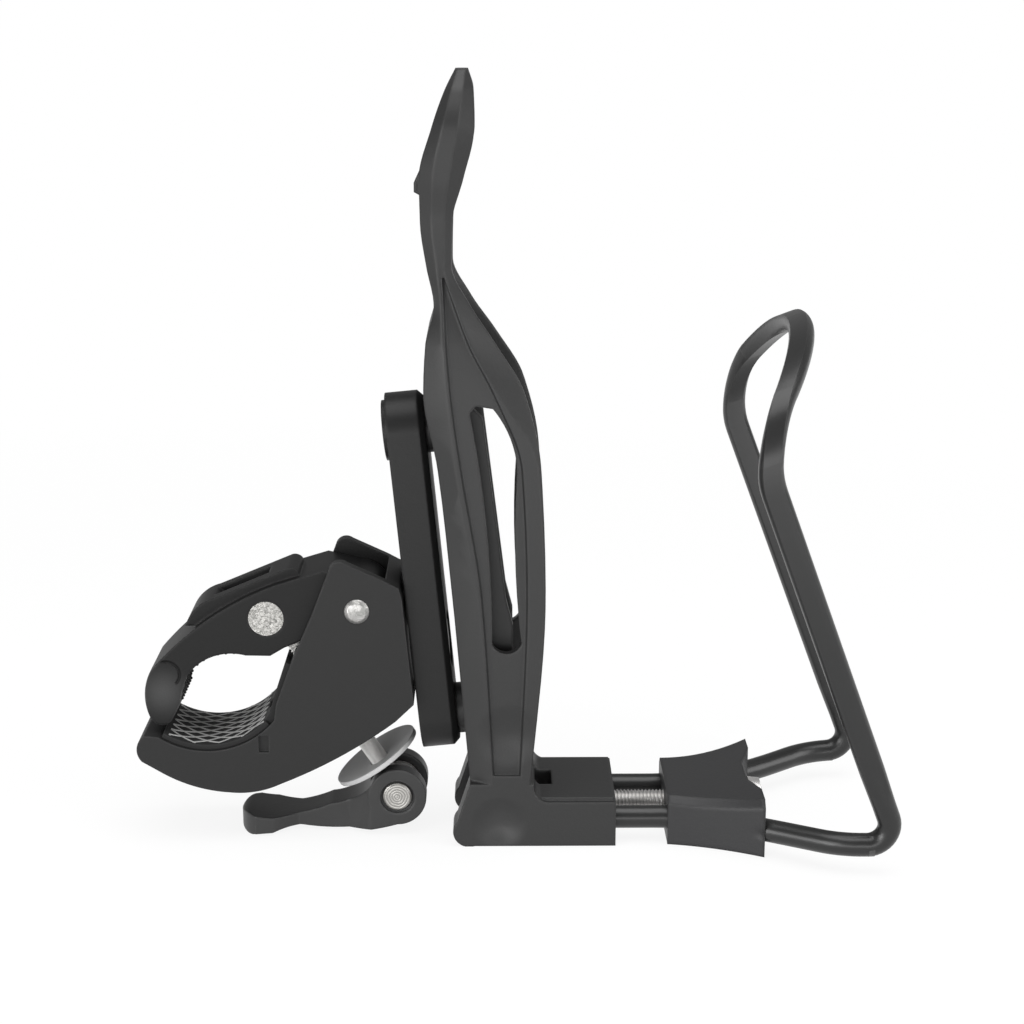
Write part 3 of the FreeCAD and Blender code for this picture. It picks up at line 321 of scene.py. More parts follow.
# %% Steel finishes
def steel_finish(name, colour, roughness, centre=None, ring_scale=900.0, ring_depth=0.5, metallic=1.0):
    material = bpy.data.materials.new(name)
    material.use_nodes = True
    tree = material.node_tree
    shader = tree.nodes["Principled BSDF"]
    shader.inputs["Metallic"].default_value = metallic
    grain = tree.nodes.new("ShaderNodeGroup")
    grain.node_tree = mould_grain
    grain.inputs["Colour"].default_value = (*colour, 1)
    grain.inputs["Grain Size"].default_value = 1400.0
    grain.inputs["Tone Change"].default_value = 0.5
    grain.inputs["Roughness"].default_value = roughness
    grain.inputs["Roughness Change"].default_value = 0.3
    link(tree, grain.outputs["Roughness"], shader.inputs["Roughness"])
    raised = add_node(tree, "ShaderNodeBump", Strength=ring_depth, Distance=0.0001)
    if centre is None:
        link(tree, grain.outputs["Colour"], shader.inputs["Base Color"])
        link(tree, grain.outputs["Height"], raised.inputs["Height"])
    else:
        place = tree.nodes.new("ShaderNodeTexCoord")
        centred = tree.nodes.new("ShaderNodeMapping")
        centred.inputs["Location"].default_value = [-value for value in centre]
        link(tree, place.outputs["Object"], centred.inputs["Vector"])
        rings = add_node(tree, "ShaderNodeTexWave", Scale=ring_scale, Distortion=2.5, Detail=3.0)
        rings.wave_type = "RINGS"
        rings.rings_direction = "Y"
        link(tree, centred.outputs["Vector"], rings.inputs["Vector"])
        dark = mix_colour(tree, rings.outputs["Fac"], (*[value * 0.62 for value in colour], 1),
                          grain.outputs["Colour"])
        link(tree, dark, shader.inputs["Base Color"])
        link(tree, rings.outputs["Fac"], raised.inputs["Height"])
    link(tree, raised.outputs["Normal"], shader.inputs["Normal"])
    material.diffuse_color = (*colour, 1)
    return material


def node_centre(name):
    low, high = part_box(name)
    return [(a + b) / 2 for a, b in zip(low, high)]


plated_steel = steel_finish("plated_steel", (0.55, 0.55, 0.55), 0.38, ring_depth=0.2)
dark_steel = steel_finish("dark_steel", (0.22, 0.22, 0.22), 0.42, ring_depth=0.2)
screw_steel = steel_finish("screw_steel", (0.60, 0.59, 0.58), 0.38, ring_depth=0.2, metallic=0.9)
bright_steel = steel_finish("bright_steel", (0.80, 0.79, 0.77), 0.42, ring_depth=0.2, metallic=0.45)
pin_steel = steel_finish("pin_steel", (0.42, 0.41, 0.39), 0.45, node_centre("lever_pin"), 560.0, 0.6)


def sawn_steel(name, light, dark, scale, roughness, depth):
    """A cut or pressed end: a rough grain of bright and dull flecks."""
    material = bpy.data.materials.new(name)
    material.use_nodes = True
    tree = material.node_tree
    shader = tree.nodes["Principled BSDF"]
    shader.inputs["Metallic"].default_value = 1.0
    place = tree.nodes.new("ShaderNodeTexCoord").outputs["Object"]
    fleck = add_node(tree, "ShaderNodeTexNoise", Scale=scale, Detail=5.0, Roughness=0.7, Distortion=1.2)
    link(tree, place, fleck.inputs["Vector"])
    spread = add_node(tree, "ShaderNodeMapRange")
    spread.inputs["From Min"].default_value = 0.40
    spread.inputs["From Max"].default_value = 0.60
    link(tree, fleck.outputs["Fac"], spread.inputs["Value"])
    flecked = mix_colour(tree, spread.outputs["Result"], (*dark, 1), (*light, 1))
    link(tree, flecked, shader.inputs["Base Color"])
    smoother = math_node(tree, "MULTIPLY", spread.outputs["Result"], -0.15)
    rough = math_node(tree, "ADD", roughness, smoother)
    link(tree, rough, shader.inputs["Roughness"])
    raised = add_node(tree, "ShaderNodeBump", Strength=depth, Distance=0.0002)
    link(tree, fleck.outputs["Fac"], raised.inputs["Height"])
    link(tree, raised.outputs["Normal"], shader.inputs["Normal"])
    material.diffuse_color = (*light, 1)
    return material


rivet_steel = sawn_steel("rivet_steel", (0.50, 0.49, 0.48), (0.26, 0.26, 0.25), 420.0, 0.45, 0.5)
barrel_steel = sawn_steel("barrel_steel", (0.50, 0.49, 0.47), (0.17, 0.17, 0.16), 1700.0, 0.5, 0.8)
print("steel finishes ready")

# %% [markdown]
# ## Soft edges on the solids
#
# A moulded edge is never a knife edge. The solids arrive as loose triangles, so each gets a short stack of
# modifiers: weld the triangles, join what is flat, bevel what is sharp, and shade smooth by angle with a
# small Geometry Nodes tree. The solids themselves are not touched.


# %% Shade by angle
def make_shading_tree():
    tree = bpy.data.node_groups.new("shade_by_angle", "GeometryNodeTree")
    tree.interface.new_socket("Geometry", in_out="INPUT", socket_type="NodeSocketGeometry")
    angle = tree.interface.new_socket("Angle", in_out="INPUT", socket_type="NodeSocketFloat")
    angle.default_value = 0.55
    tree.interface.new_socket("Geometry", in_out="OUTPUT", socket_type="NodeSocketGeometry")
    source = tree.nodes.new("NodeGroupInput")
    result = tree.nodes.new("NodeGroupOutput")
    forget = tree.nodes.new("GeometryNodeRemoveAttribute")
    forget.inputs["Name"].default_value = "custom_normal"
    faces = tree.nodes.new("GeometryNodeSetShadeSmooth")
    faces.domain = "FACE"
    edges = tree.nodes.new("GeometryNodeSetShadeSmooth")
    edges.domain = "EDGE"
    fold = tree.nodes.new("GeometryNodeInputMeshEdgeAngle")
    compare = tree.nodes.new("ShaderNodeMath")
    compare.operation = "LESS_THAN"
    link(tree, source.outputs["Geometry"], forget.inputs["Geometry"])
    link(tree, forget.outputs["Geometry"], faces.inputs["Geometry"])
    link(tree, faces.outputs["Geometry"], edges.inputs["Geometry"])
    link(tree, fold.outputs["Unsigned Angle"], compare.inputs[0])
    link(tree, source.outputs["Angle"], compare.inputs[1])
    link(tree, compare.outputs[0], edges.inputs["Shade Smooth"])
    link(tree, edges.outputs["Geometry"], result.inputs["Geometry"])
    return tree


shade_by_angle = make_shading_tree()
print("tree", shade_by_angle.name)
EDGE_SEGMENTS = 2


def soften(name, width):
    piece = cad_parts[name]
    weld = piece.modifiers.new("weld", "WELD")
    weld.merge_threshold = 2e-6
    if width:
        flat = piece.modifiers.new("join_flat", "DECIMATE")
        flat.decimate_type = "DISSOLVE"
        flat.angle_limit = math.radians(0.5)
        bevel = piece.modifiers.new("moulded_edge", "BEVEL")
        bevel.width = width * MM
        bevel.segments = EDGE_SEGMENTS
        bevel.limit_method = "ANGLE"
        bevel.angle_limit = math.radians(34)
        bevel.miter_outer = "MITER_ARC"
    shade = piece.modifiers.new("shade", "NODES")
    shade.node_group = shade_by_angle
    even = piece.modifiers.new("even_light", "WEIGHTED_NORMAL")
    even.keep_sharp = True
    even.weight = 80


def dress(name, material):
    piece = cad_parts[name]
    piece.data.materials.clear()
    piece.data.materials.append(material)


# %% [markdown]
# One table says which finish each node has, and how wide its moulded edge is in millimetres.

# %% Finish and edge of every node
DRESSING = {
    "cage_back": (moulded_nylon, 0.45),
    "collar": (collar_nylon, 0.6),
    "adapter_bar": (bar_nylon, 0.25),
    "clamp_body": (clamp_nylon, 0.3),
    "upper_jaw": (jaw_nylon, 0.4),
    "cam_lever": (cast_black, 0.35),
    "lower_pad": (pad_rubber, 0.15),
    "upper_pad": (pad_rubber, 0.15),
    "wire_bail": (coated_rod, 0.0),
    "hinge_rivet": (rivet_steel, 0.12),
    "barrel_nut": (barrel_steel, 0.15),
    "lever_pin": (pin_steel, 0.0),
    "draw_bolt": (plated_steel, 0.0),
    "cam_washer": (dull_zinc, 0.12),
    "swivel_bolt": (dark_steel, 0.15),
    "swivel_disc": (clamp_nylon, 0.0),
    "swivel_washer": (plated_steel, 0.1),
    "swivel_nut": (plated_steel, 0.15),
    "adjuster_screw": (dark_steel, 0.15),
    "foot_nut": (dark_steel, 0.15),
}
for spot in ("upper", "lower"):
    DRESSING[spot + "_mount_screw"] = (dark_steel, 0.15)
    DRESSING[spot + "_mount_washer"] = (dark_steel, 0.1)
    DRESSING[spot + "_mount_nut"] = (plated_steel, 0.15)
for name, (material, width) in DRESSING.items():
    dress(name, material)
    soften(name, width)
print("dressed", len(DRESSING), "of", len(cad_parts))

# %% [markdown]
# ## The collar's flare
#
# The collar's sides and top are drawn in between its two ends, and its notch opens wider at the front. The
# solid has straight faces, so a merged copy of its mesh is cut into slices and each slice is drawn in a
# little. Lengths here are in millimetres.

# %% Flared collar
COLLAR_HALF_WIDTH = (12.6, 19.8)
COLLAR_HEIGHT = (11.0, 12.8)
CORNER_BAND = 1.9
SIDE_DRAW = 1.0
TOP_DRAW = 0.8
NOTCH_RIM = (8.0, 10.0)
NOTCH_HALF_WIDTH = 12.4
COLLAR_SLICES = 10


def between(pair, share):
    return pair[0] + (pair[1] - pair[0]) * share


def flared_collar():
    low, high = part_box("collar")
    shape = bmesh.new()
    shape.from_mesh(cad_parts["collar"].data)
    bmesh.ops.remove_doubles(shape, verts=shape.verts, dist=2e-6)
    bmesh.ops.dissolve_limit(shape, angle_limit=math.radians(0.5), verts=shape.verts, edges=shape.edges)
    for step in range(1, COLLAR_SLICES):
        slice_x = low[0] + (high[0] - low[0]) * step / COLLAR_SLICES
        everything = shape.verts[:] + shape.edges[:] + shape.faces[:]
        bmesh.ops.bisect_plane(shape, geom=everything, plane_co=(slice_x, 0, 0), plane_no=(1, 0, 0))
    for vert in shape.verts:
        share = (vert.co.x - low[0]) / (high[0] - low[0])
        bow = 4 * share * (1 - share)
        half = between(COLLAR_HALF_WIDTH, share) * MM
        top = low[2] + between(COLLAR_HEIGHT, share) * MM
        side = 1 if vert.co.y > 0 else -1
        if share > 0.98 and NOTCH_RIM[0] * MM < abs(vert.co.y) < NOTCH_RIM[1] * MM:
            vert.co.y = side * NOTCH_HALF_WIDTH * MM
        if abs(vert.co.y) > half - CORNER_BAND * MM:
            vert.co.y -= side * bow * SIDE_DRAW * MM
        if vert.co.z > top - CORNER_BAND * MM:
            vert.co.z -= bow * TOP_DRAW * MM
    mesh = bpy.data.meshes.new("collar_flared")
    shape.to_mesh(mesh)
    shape.free()
    mesh.materials.append(collar_nylon)
    for polygon in mesh.polygons:
        polygon.material_index = 0
        polygon.use_smooth = True
    mesh.set_sharp_from_angle(angle=math.radians(28))
    piece = bpy.data.objects.new("collar_flared", mesh)
    bpy.context.collection.objects.link(piece)
    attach(piece, "bail")
    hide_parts("collar")
    print("collar_flared", len(mesh.polygons), "faces")


flared_collar()

# %% [markdown]
# ## What repeats: threads, mesh and nubs
#
# A thread, a diamond mesh and rows of nubs all repeat by rule, so Geometry Nodes make them. Each tree has
# named inputs, works in its own plain space and ends in Set Material. The result is turned into a plain mesh.


# %% Helpers for Geometry Nodes
def geometry_tree(name, inputs):
    tree = bpy.data.node_groups.new(name, "GeometryNodeTree")
    for label, kind, value in inputs:
        socket = tree.interface.new_socket(label, in_out="INPUT", socket_type=kind)
        if value is not None:
            socket.default_value = value
    tree.interface.new_socket("Geometry", in_out="OUTPUT", socket_type="NodeSocketGeometry")
    return tree, tree.nodes.new("NodeGroupInput"), tree.nodes.new("NodeGroupOutput")


def close_tree(tree, geometry, source, result):
    solid = tree.nodes.new("GeometryNodeRealizeInstances")
    finish = tree.nodes.new("GeometryNodeSetMaterial")
    link(tree, geometry, solid.inputs[0])
    link(tree, solid.outputs[0], finish.inputs["Geometry"])
    link(tree, source.outputs["Finish"], finish.inputs["Material"])
    link(tree, finish.outputs["Geometry"], result.inputs["Geometry"])


def grow(name, tree, values, start=None):
    """Run a tree once and keep its result as a plain mesh."""
    seed = bpy.data.objects.new(name + "_seed", start or bpy.data.meshes.new(name + "_seed"))
    bpy.context.collection.objects.link(seed)
    modifier = seed.modifiers.new("grow", "NODES")
    modifier.node_group = tree
    for item in tree.interface.items_tree:
        if item.item_type == "SOCKET" and item.in_out == "INPUT" and item.name in values:
            modifier[item.identifier] = values[item.name]
    mesh = bpy.data.meshes.new_from_object(seed.evaluated_get(bpy.context.evaluated_depsgraph_get()))
    bpy.data.objects.remove(seed)
    mesh.name = name
    return mesh


def place_piece(name, mesh, body):
    piece = bpy.data.objects.new(name, mesh)
    bpy.context.collection.objects.link(piece)
    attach(piece, body)
    print(name, len(mesh.polygons), "faces")
    return piece


# %% [markdown]
# The screw between foot and collar is the thread that shows most. A thread is a cylinder whose radius goes
# up and down with height minus turn, so one Set Position is enough. The head comes from the solid, cut off
# with a plane, and both together stand for the node. The draw bolt is made in the same way, with its eye from
# the solid.

# %% Tree: threaded rod
def make_thread_tree():
    tree, source, result = geometry_tree("threaded_rod", [
        ("Length", "NodeSocketFloat", 0.02), ("Radius", "NodeSocketFloat", 0.0025),
        ("Depth", "NodeSocketFloat", 0.0004), ("Pitch", "NodeSocketFloat", 0.0008),
        ("Rows", "NodeSocketInt", 200), ("Finish", "NodeSocketMaterial", None)])
    rod = add_node(tree, "GeometryNodeMeshCylinder", Vertices=28)
    link(tree, source.outputs["Rows"], rod.inputs["Side Segments"])
    link(tree, source.outputs["Radius"], rod.inputs["Radius"])
    link(tree, source.outputs["Length"], rod.inputs["Depth"])
    spot = tree.nodes.new("ShaderNodeSeparateXYZ")
    link(tree, tree.nodes.new("GeometryNodeInputPosition").outputs[0], spot.inputs[0])
    angle = math_node(tree, "ARCTAN2", spot.outputs["Y"], spot.outputs["X"])
    turn = math_node(tree, "DIVIDE", angle, 2 * math.pi)
    rise = math_node(tree, "DIVIDE", spot.outputs["Z"], source.outputs["Pitch"])
    phase = math_node(tree, "FRACT", math_node(tree, "SUBTRACT", rise, turn), 0.0)
    wave = math_node(tree, "MULTIPLY", math_node(
        tree, "ABSOLUTE", math_node(tree, "SUBTRACT", phase, 0.5), 0.0), 2.0)
    sink = math_node(tree, "MULTIPLY", wave, math_node(
        tree, "DIVIDE", source.outputs["Depth"], source.outputs["Radius"]))
    share = math_node(tree, "SUBTRACT", 1.0, sink)
    moved = tree.nodes.new("ShaderNodeCombineXYZ")
    link(tree, math_node(tree, "MULTIPLY", spot.outputs["X"], share), moved.inputs["X"])
    link(tree, math_node(tree, "MULTIPLY", spot.outputs["Y"], share), moved.inputs["Y"])
    link(tree, spot.outputs["Z"], moved.inputs["Z"])
    shift = tree.nodes.new("GeometryNodeSetPosition")
    link(tree, rod.outputs["Mesh"], shift.inputs["Geometry"])
    link(tree, moved.outputs[0], shift.inputs["Position"])
    close_tree(tree, shift.outputs["Geometry"], source, result)
    return tree


threaded_rod = make_thread_tree()
print("tree", threaded_rod.name)
ROWS_PER_TURN = 6
FLANGE_THICK = 0.0026
FLANGE_MIDDLE = 0.0021


def solid_beyond(name, point, normal):
    """A merged copy of a solid's mesh, with only what lies beyond a plane, and closed again."""
    shape = bmesh.new()
    shape.from_mesh(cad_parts[name].data)
    bmesh.ops.remove_doubles(shape, verts=shape.verts, dist=2e-6)
    everything = shape.verts[:] + shape.edges[:] + shape.faces[:]
    bmesh.ops.bisect_plane(shape, geom=everything, plane_co=point, plane_no=normal, clear_inner=True)
    rim = [edge for edge in shape.edges if edge.is_boundary]
    bmesh.ops.holes_fill(shape, edges=rim)
    return shape


def threaded_piece(name, node, body, start, end, radius, pitch, depth, finish, flange=0.0):
    """Thread from start to end, with the rest of the solid beyond its end."""
    run = end - start
    rows = int(run.length / pitch * ROWS_PER_TURN)
    turn = run.to_track_quat("Z", "Y").to_matrix().to_4x4()
    thread = grow(node + "_thread", threaded_rod, {
        "Length": run.length, "Radius": radius, "Depth": depth, "Pitch": pitch, "Rows": rows,
        "Finish": finish})
    thread.transform(Matrix.Translation((start + end) / 2) @ turn)
    shape = solid_beyond(node, end, run.normalized())
    shape.from_mesh(thread)
    if flange:
        spot = Matrix.Translation(end + run.normalized() * FLANGE_MIDDLE) @ turn
        bmesh.ops.create_cone(shape, cap_ends=True, segments=36, radius1=flange, radius2=flange * 0.94,
                              depth=FLANGE_THICK, matrix=spot)
    mesh = bpy.data.meshes.new(name)
    shape.to_mesh(mesh)
    shape.free()
    mesh.materials.append(finish)
    for polygon in mesh.polygons:
        polygon.material_index = 0
        polygon.use_smooth = False
    mesh.set_sharp_from_angle(angle=math.radians(35))
    piece = place_piece(name, mesh, body)
    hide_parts(node)
    return piece


# %% Adjuster screw and draw bolt
HEAD_HEIGHT = 0.00372
HEAD_RADIUS = 0.0053
low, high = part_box("adjuster_screw")
screw_level = (low[2] + high[2]) / 2
threaded_piece("adjuster_screw_threaded", "adjuster_screw", "adjuster", Vector((low[0], 0, screw_level)),
               Vector((high[0] - HEAD_HEIGHT, 0, screw_level)), 0.0025, 0.0008, 0.00045, screw_steel,
               flange=HEAD_RADIUS)
barrel = Vector(node_centre("barrel_nut"))
pin = Vector(node_centre("lever_pin"))
draw_line = (pin - barrel).normalized()
threaded_piece("draw_bolt_threaded", "draw_bolt", "bolt", barrel - draw_line * 0.006,
               barrel + draw_line * 0.022, 0.002, 0.0007, 0.0004, bright_steel)

# %% [markdown]
# The cradle's rubber strip carries a fine diamond mesh. Two families of slanted lines are laid out flat,
# trimmed to the strip's width, wrapped round the cradle and given a thin four-sided section.


# %% Tree: diamond mesh
def line_family(tree, source, slant):
    count, spacing = source.outputs["Lines"], source.outputs["Spacing"]
    slope = math_node(tree, "MULTIPLY", source.outputs["Slant"], slant)
    row = add_node(tree, "GeometryNodeMeshLine")
    link(tree, count, row.inputs["Count"])
    first = math_node(tree, "MULTIPLY", math_node(tree, "SUBTRACT", count, 1.0), math_node(
        tree, "MULTIPLY", spacing, -0.5))
    back = math_node(tree, "MULTIPLY", source.outputs["Length"], -0.5)
    climb = math_node(tree, "MULTIPLY", slope, back)
    begin = tree.nodes.new("ShaderNodeCombineXYZ")
    link(tree, math_node(tree, "ADD", first, climb), begin.inputs["Y"])
    link(tree, begin.outputs[0], row.inputs["Start Location"])
    step = tree.nodes.new("ShaderNodeCombineXYZ")
    link(tree, spacing, step.inputs["Y"])
    link(tree, step.outputs[0], row.inputs["Offset"])
    line = tree.nodes.new("GeometryNodeCurvePrimitiveLine")
    far = tree.nodes.new("ShaderNodeCombineXYZ")
    link(tree, source.outputs["Length"], far.inputs["X"])
    link(tree, math_node(tree, "MULTIPLY", slope, source.outputs["Length"]), far.inputs["Y"])
    link(tree, far.outputs[0], line.inputs["End"])
    fine = add_node(tree, "GeometryNodeResampleCurve", Count=60)
    link(tree, line.outputs[0], fine.inputs["Curve"])
    laid = tree.nodes.new("GeometryNodeInstanceOnPoints")
    link(tree, row.outputs["Mesh"], laid.inputs["Points"])
    link(tree, fine.outputs["Curve"], laid.inputs["Instance"])
    return laid.outputs["Instances"]


def make_mesh_tree():
    tree, source, result = geometry_tree("diamond_mesh", [
        ("Length", "NodeSocketFloat", 0.0224), ("Half Width", "NodeSocketFloat", 0.0096),
        ("Radius", "NodeSocketFloat", 0.0177), ("Start Angle", "NodeSocketFloat", -0.80),
        ("Lines", "NodeSocketInt", 11), ("Spacing", "NodeSocketFloat", 0.0031),
        ("Slant", "NodeSocketFloat", 0.55), ("Ridge", "NodeSocketFloat", 0.00023),
        ("Finish", "NodeSocketMaterial", None)])
    both = tree.nodes.new("GeometryNodeJoinGeometry")
    for slant in (1.0, -1.0):
        link(tree, line_family(tree, source, slant), both.inputs[0])
    real = tree.nodes.new("GeometryNodeRealizeInstances")
    link(tree, both.outputs[0], real.inputs[0])
    spot = tree.nodes.new("ShaderNodeSeparateXYZ")
    link(tree, tree.nodes.new("GeometryNodeInputPosition").outputs[0], spot.inputs[0])
    outside = math_node(tree, "GREATER_THAN", math_node(tree, "ABSOLUTE", spot.outputs["Y"], 0.0),
                        source.outputs["Half Width"])
    trim = tree.nodes.new("GeometryNodeDeleteGeometry")
    link(tree, real.outputs[0], trim.inputs["Geometry"])
    link(tree, outside, trim.inputs["Selection"])
    angle = math_node(tree, "SUBTRACT", source.outputs["Start Angle"], math_node(
        tree, "DIVIDE", spot.outputs["X"], source.outputs["Radius"]))
    wrapped = tree.nodes.new("ShaderNodeCombineXYZ")
    for axis, wave in (("X", "COSINE"), ("Z", "SINE")):
        reach = math_node(tree, wave, angle, 0.0)
        link(tree, math_node(tree, "MULTIPLY", reach, source.outputs["Radius"]), wrapped.inputs[axis])
    link(tree, spot.outputs["Y"], wrapped.inputs["Y"])
    bend = tree.nodes.new("GeometryNodeSetPosition")
    link(tree, trim.outputs[0], bend.inputs["Geometry"])
    link(tree, wrapped.outputs[0], bend.inputs["Position"])
    section = add_node(tree, "GeometryNodeCurvePrimitiveCircle", Resolution=4)
    link(tree, source.outputs["Ridge"], section.inputs["Radius"])
    ridges = tree.nodes.new("GeometryNodeCurveToMesh")
    ridges.inputs["Fill Caps"].default_value = True
    link(tree, bend.outputs["Geometry"], ridges.inputs["Curve"])
    link(tree, section.outputs["Curve"], ridges.inputs["Profile Curve"])
    close_tree(tree, ridges.outputs["Mesh"], source, result)
    return tree


cradle_mesh = grow("cradle_mesh", make_mesh_tree(), {"Finish": mesh_rubber})
place_piece("lower_pad_mesh", cradle_mesh, "clamp")

# %% [markdown]
# The pad in the jaw has small round nubs in rows. A short row of nubs is instanced along the pad's profile.


# %% Tree: rows of nubs
def make_nub_tree():
    tree, source, result = geometry_tree("nub_rows", [
        ("Profile", "NodeSocketGeometry", None), ("Along", "NodeSocketInt", 15),
        ("Across", "NodeSocketInt", 8), ("Pitch", "NodeSocketFloat", 0.0019),
        ("Size", "NodeSocketFloat", 0.00036),
        ("Finish", "NodeSocketMaterial", None)])
    path = tree.nodes.new("GeometryNodeMeshToCurve")
    link(tree, source.outputs["Profile"], path.inputs["Mesh"])
    spots = tree.nodes.new("GeometryNodeResampleCurve")
    link(tree, path.outputs[0], spots.inputs["Curve"])
    link(tree, source.outputs["Along"], spots.inputs["Count"])
    nub = add_node(tree, "GeometryNodeMeshIcoSphere", Subdivisions=2)
    link(tree, source.outputs["Size"], nub.inputs["Radius"])
    row = tree.nodes.new("GeometryNodeMeshLine")
    link(tree, source.outputs["Across"], row.inputs["Count"])
    begin = tree.nodes.new("ShaderNodeCombineXYZ")
    gaps = math_node(tree, "SUBTRACT", source.outputs["Across"], 1.0)
    half_gap = math_node(tree, "MULTIPLY", source.outputs["Pitch"], -0.5)
    link(tree, math_node(tree, "MULTIPLY", gaps, half_gap), begin.inputs["Y"])
    step = tree.nodes.new("ShaderNodeCombineXYZ")
    link(tree, source.outputs["Pitch"], step.inputs["Y"])
    link(tree, begin.outputs[0], row.inputs["Start Location"])
    link(tree, step.outputs[0], row.inputs["Offset"])
    nubs = tree.nodes.new("GeometryNodeInstanceOnPoints")
    link(tree, row.outputs["Mesh"], nubs.inputs["Points"])
    link(tree, nub.outputs["Mesh"], nubs.inputs["Instance"])
    rows = tree.nodes.new("GeometryNodeInstanceOnPoints")
    link(tree, spots.outputs["Curve"], rows.inputs["Points"])
    link(tree, nubs.outputs["Instances"], rows.inputs["Instance"])
    close_tree(tree, rows.outputs["Instances"], source, result)
    return tree


PAD_POINTS = ((-5.6, -8.2), (-5.1, -5.5), (-4.2, -2.6), (-1.6, 0.0),
              (1.2, 1.7), (5.0, 2.2), (8.7, 2.1), (13.0, 2.0))


def pad_profile():
    mesh = bpy.data.meshes.new("pad_profile")
    spots = [(x * MM, 0, z * MM) for x, z in PAD_POINTS]
    mesh.from_pydata(spots, [(i, i + 1) for i in range(len(spots) - 1)], [])
    return mesh


jaw_nubs = grow("jaw_nubs", make_nub_tree(), {"Finish": pad_rubber}, pad_profile())
place_piece("upper_pad_nubs", jaw_nubs, "jaw")

# %% [markdown]
# ## Table, light and camera
#
# The floor is pale and keeps a faint shadow of the object. For the camera and for reflections it is lifted
# towards white, which adds no light to the object. Three broad lamps, a long low one that stands for the
# light off the table, and an even world light give the soft studio look.


# %% Floor
def make_floor():
    bpy.ops.mesh.primitive_plane_add(size=6.0, location=(0, 0, TABLE_HEIGHT - 0.0001))
    floor = bpy.context.object
    floor.name = "studio_floor"
    material = bpy.data.materials.new("white_paper")
    material.use_nodes = True
    tree = material.node_tree
    shader = tree.nodes["Principled BSDF"]
    shader.inputs["Base Color"].default_value = (0.86, 0.86, 0.86, 1)
    shader.inputs["Roughness"].default_value = 0.9
    glow = add_node(tree, "ShaderNodeEmission", Color=(1, 1, 1, 1), Strength=1.0)
    rays = tree.nodes.new("ShaderNodeLightPath")
    seen = math_node(tree, "MAXIMUM", rays.outputs["Is Camera Ray"], math_node(
        tree, "MAXIMUM", rays.outputs["Is Glossy Ray"], rays.outputs["Is Transmission Ray"]))
    place = tree.nodes.new("ShaderNodeTexCoord")
    reach = tree.nodes.new("ShaderNodeVectorMath")
    reach.operation = "LENGTH"
    link(tree, place.outputs["Object"], reach.inputs[0])
    fade = add_node(tree, "ShaderNodeMapRange")
    fade.inputs["From Min"].default_value = 0.12
    fade.inputs["From Max"].default_value = 0.45
    fade.inputs["To Min"].default_value = 0.88
    fade.inputs["To Max"].default_value = 1.0
    link(tree, reach.outputs["Value"], fade.inputs["Value"])
    share = math_node(tree, "MULTIPLY", seen, fade.outputs["Result"])
    blend = tree.nodes.new("ShaderNodeMixShader")
    link(tree, share, blend.inputs[0])
    link(tree, shader.outputs[0], blend.inputs[1])
    link(tree, glow.outputs[0], blend.inputs[2])
    link(tree, blend.outputs[0], tree.nodes["Material Output"].inputs["Surface"])
    floor.data.materials.append(material)
    print("floor at", TABLE_HEIGHT)


make_floor()


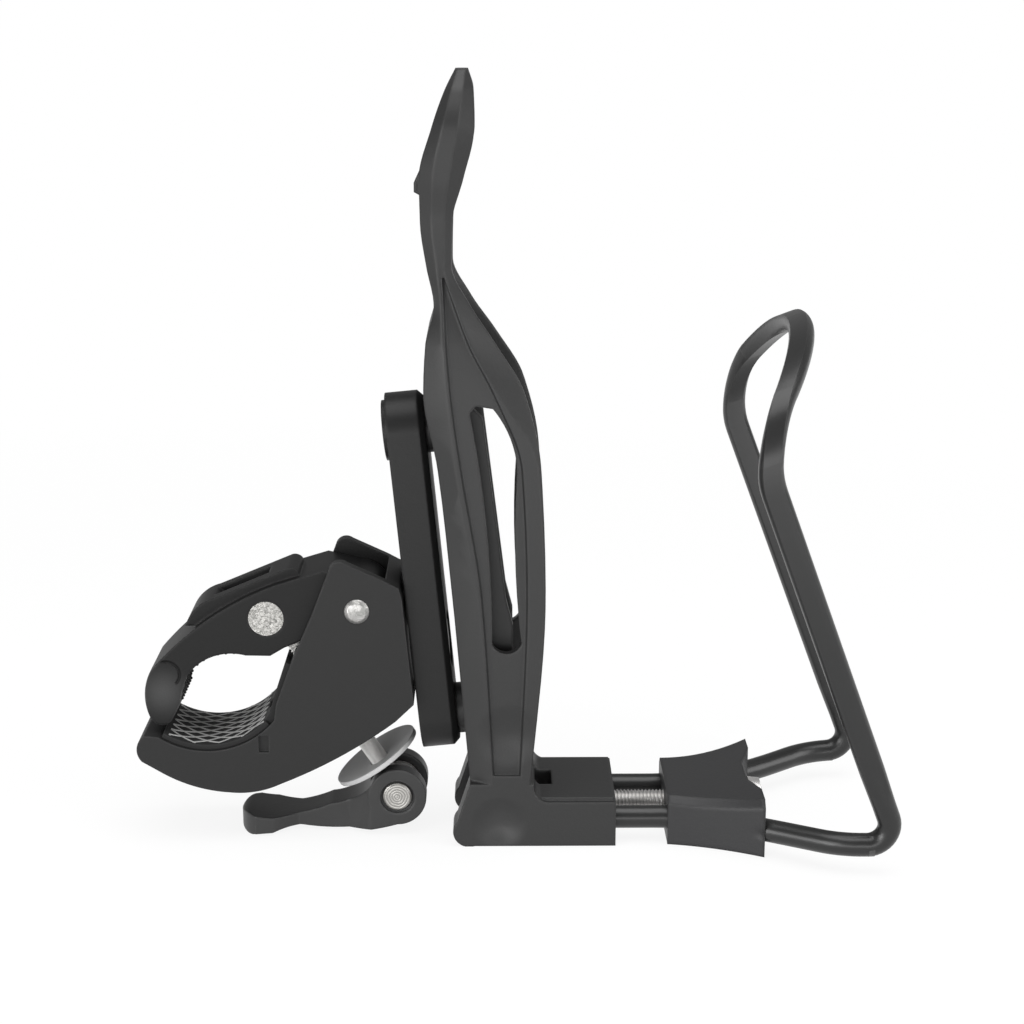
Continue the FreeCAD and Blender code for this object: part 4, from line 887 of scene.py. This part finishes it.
# %% World and lamps
def make_world():
    world = bpy.data.worlds.new("studio")
    bpy.context.scene.world = world
    world.use_nodes = True
    tree = world.node_tree
    even = tree.nodes["Background"]
    even.inputs["Color"].default_value = (1, 1, 1, 1)
    even.inputs["Strength"].default_value = 0.36
    white = tree.nodes.new("ShaderNodeBackground")
    white.inputs["Color"].default_value = (1, 1, 1, 1)
    rays = tree.nodes.new("ShaderNodeLightPath")
    blend = tree.nodes.new("ShaderNodeMixShader")
    link(tree, rays.outputs["Is Camera Ray"], blend.inputs[0])
    link(tree, even.outputs[0], blend.inputs[1])
    link(tree, white.outputs[0], blend.inputs[2])
    link(tree, blend.outputs[0], tree.nodes["World Output"].inputs["Surface"])


def area_lamp(name, place, target, size, energy):
    data = bpy.data.lights.new(name, "AREA")
    data.shape = "RECTANGLE"
    data.size, data.size_y = size
    data.energy = energy
    lamp = bpy.data.objects.new(name, data)
    bpy.context.collection.objects.link(lamp)
    lamp.location = place
    direction = Vector(target) - Vector(place)
    lamp.rotation_euler = direction.to_track_quat("-Z", "Y").to_euler()
    print("lamp", name, energy, "W")


make_world()
area_lamp("softbox_above", (0.1, -0.1, 0.85), (0.07, 0, 0.02), (0.9, 0.7), 7.0)
area_lamp("softbox_left", (-0.50, -0.55, 0.12), (0.04, 0, -0.01), (0.5, 0.4), 4.0)
area_lamp("softbox_right", (0.85, -0.30, 0.30), (0.08, 0, 0.02), (0.5, 0.6), 4.0)
area_lamp("table_bounce", (0.07, -0.42, 0.0), (0.07, 0, -0.03), (0.7, 0.10), 0.9)

# %% [markdown]
# The camera stands where the photograph was taken: a little above the object and a little over 0.4 m away.
# The focal length is in pixels of a square picture 1024 wide.

# %% Camera
SENSOR_WIDTH = 36.0
FOCAL_PIXELS = 2034.0
PICTURE_PIXELS = 1024.0
SIGHT = Vector((0.06625, 0.0, 0.03177))
DISTANCE = 0.440
ELEVATION = math.radians(14.5)
AZIMUTH = math.radians(0.5)


def make_camera():
    data = bpy.data.cameras.new("photo_camera")
    data.sensor_width = SENSOR_WIDTH
    data.lens = FOCAL_PIXELS / PICTURE_PIXELS * SENSOR_WIDTH
    data.clip_start = 0.01
    camera = bpy.data.objects.new("photo_camera", data)
    bpy.context.collection.objects.link(camera)
    back = Vector((-math.sin(AZIMUTH) * math.cos(ELEVATION), -math.cos(AZIMUTH) * math.cos(ELEVATION),
                   math.sin(ELEVATION)))
    camera.location = SIGHT + back * DISTANCE
    camera.rotation_euler = (-back).to_track_quat("-Z", "Y").to_euler()
    bpy.context.scene.camera = camera
    return camera


camera = make_camera()
bpy.context.scene.view_settings.view_transform = "Standard"
print("camera at", [round(v, 4) for v in camera.location])
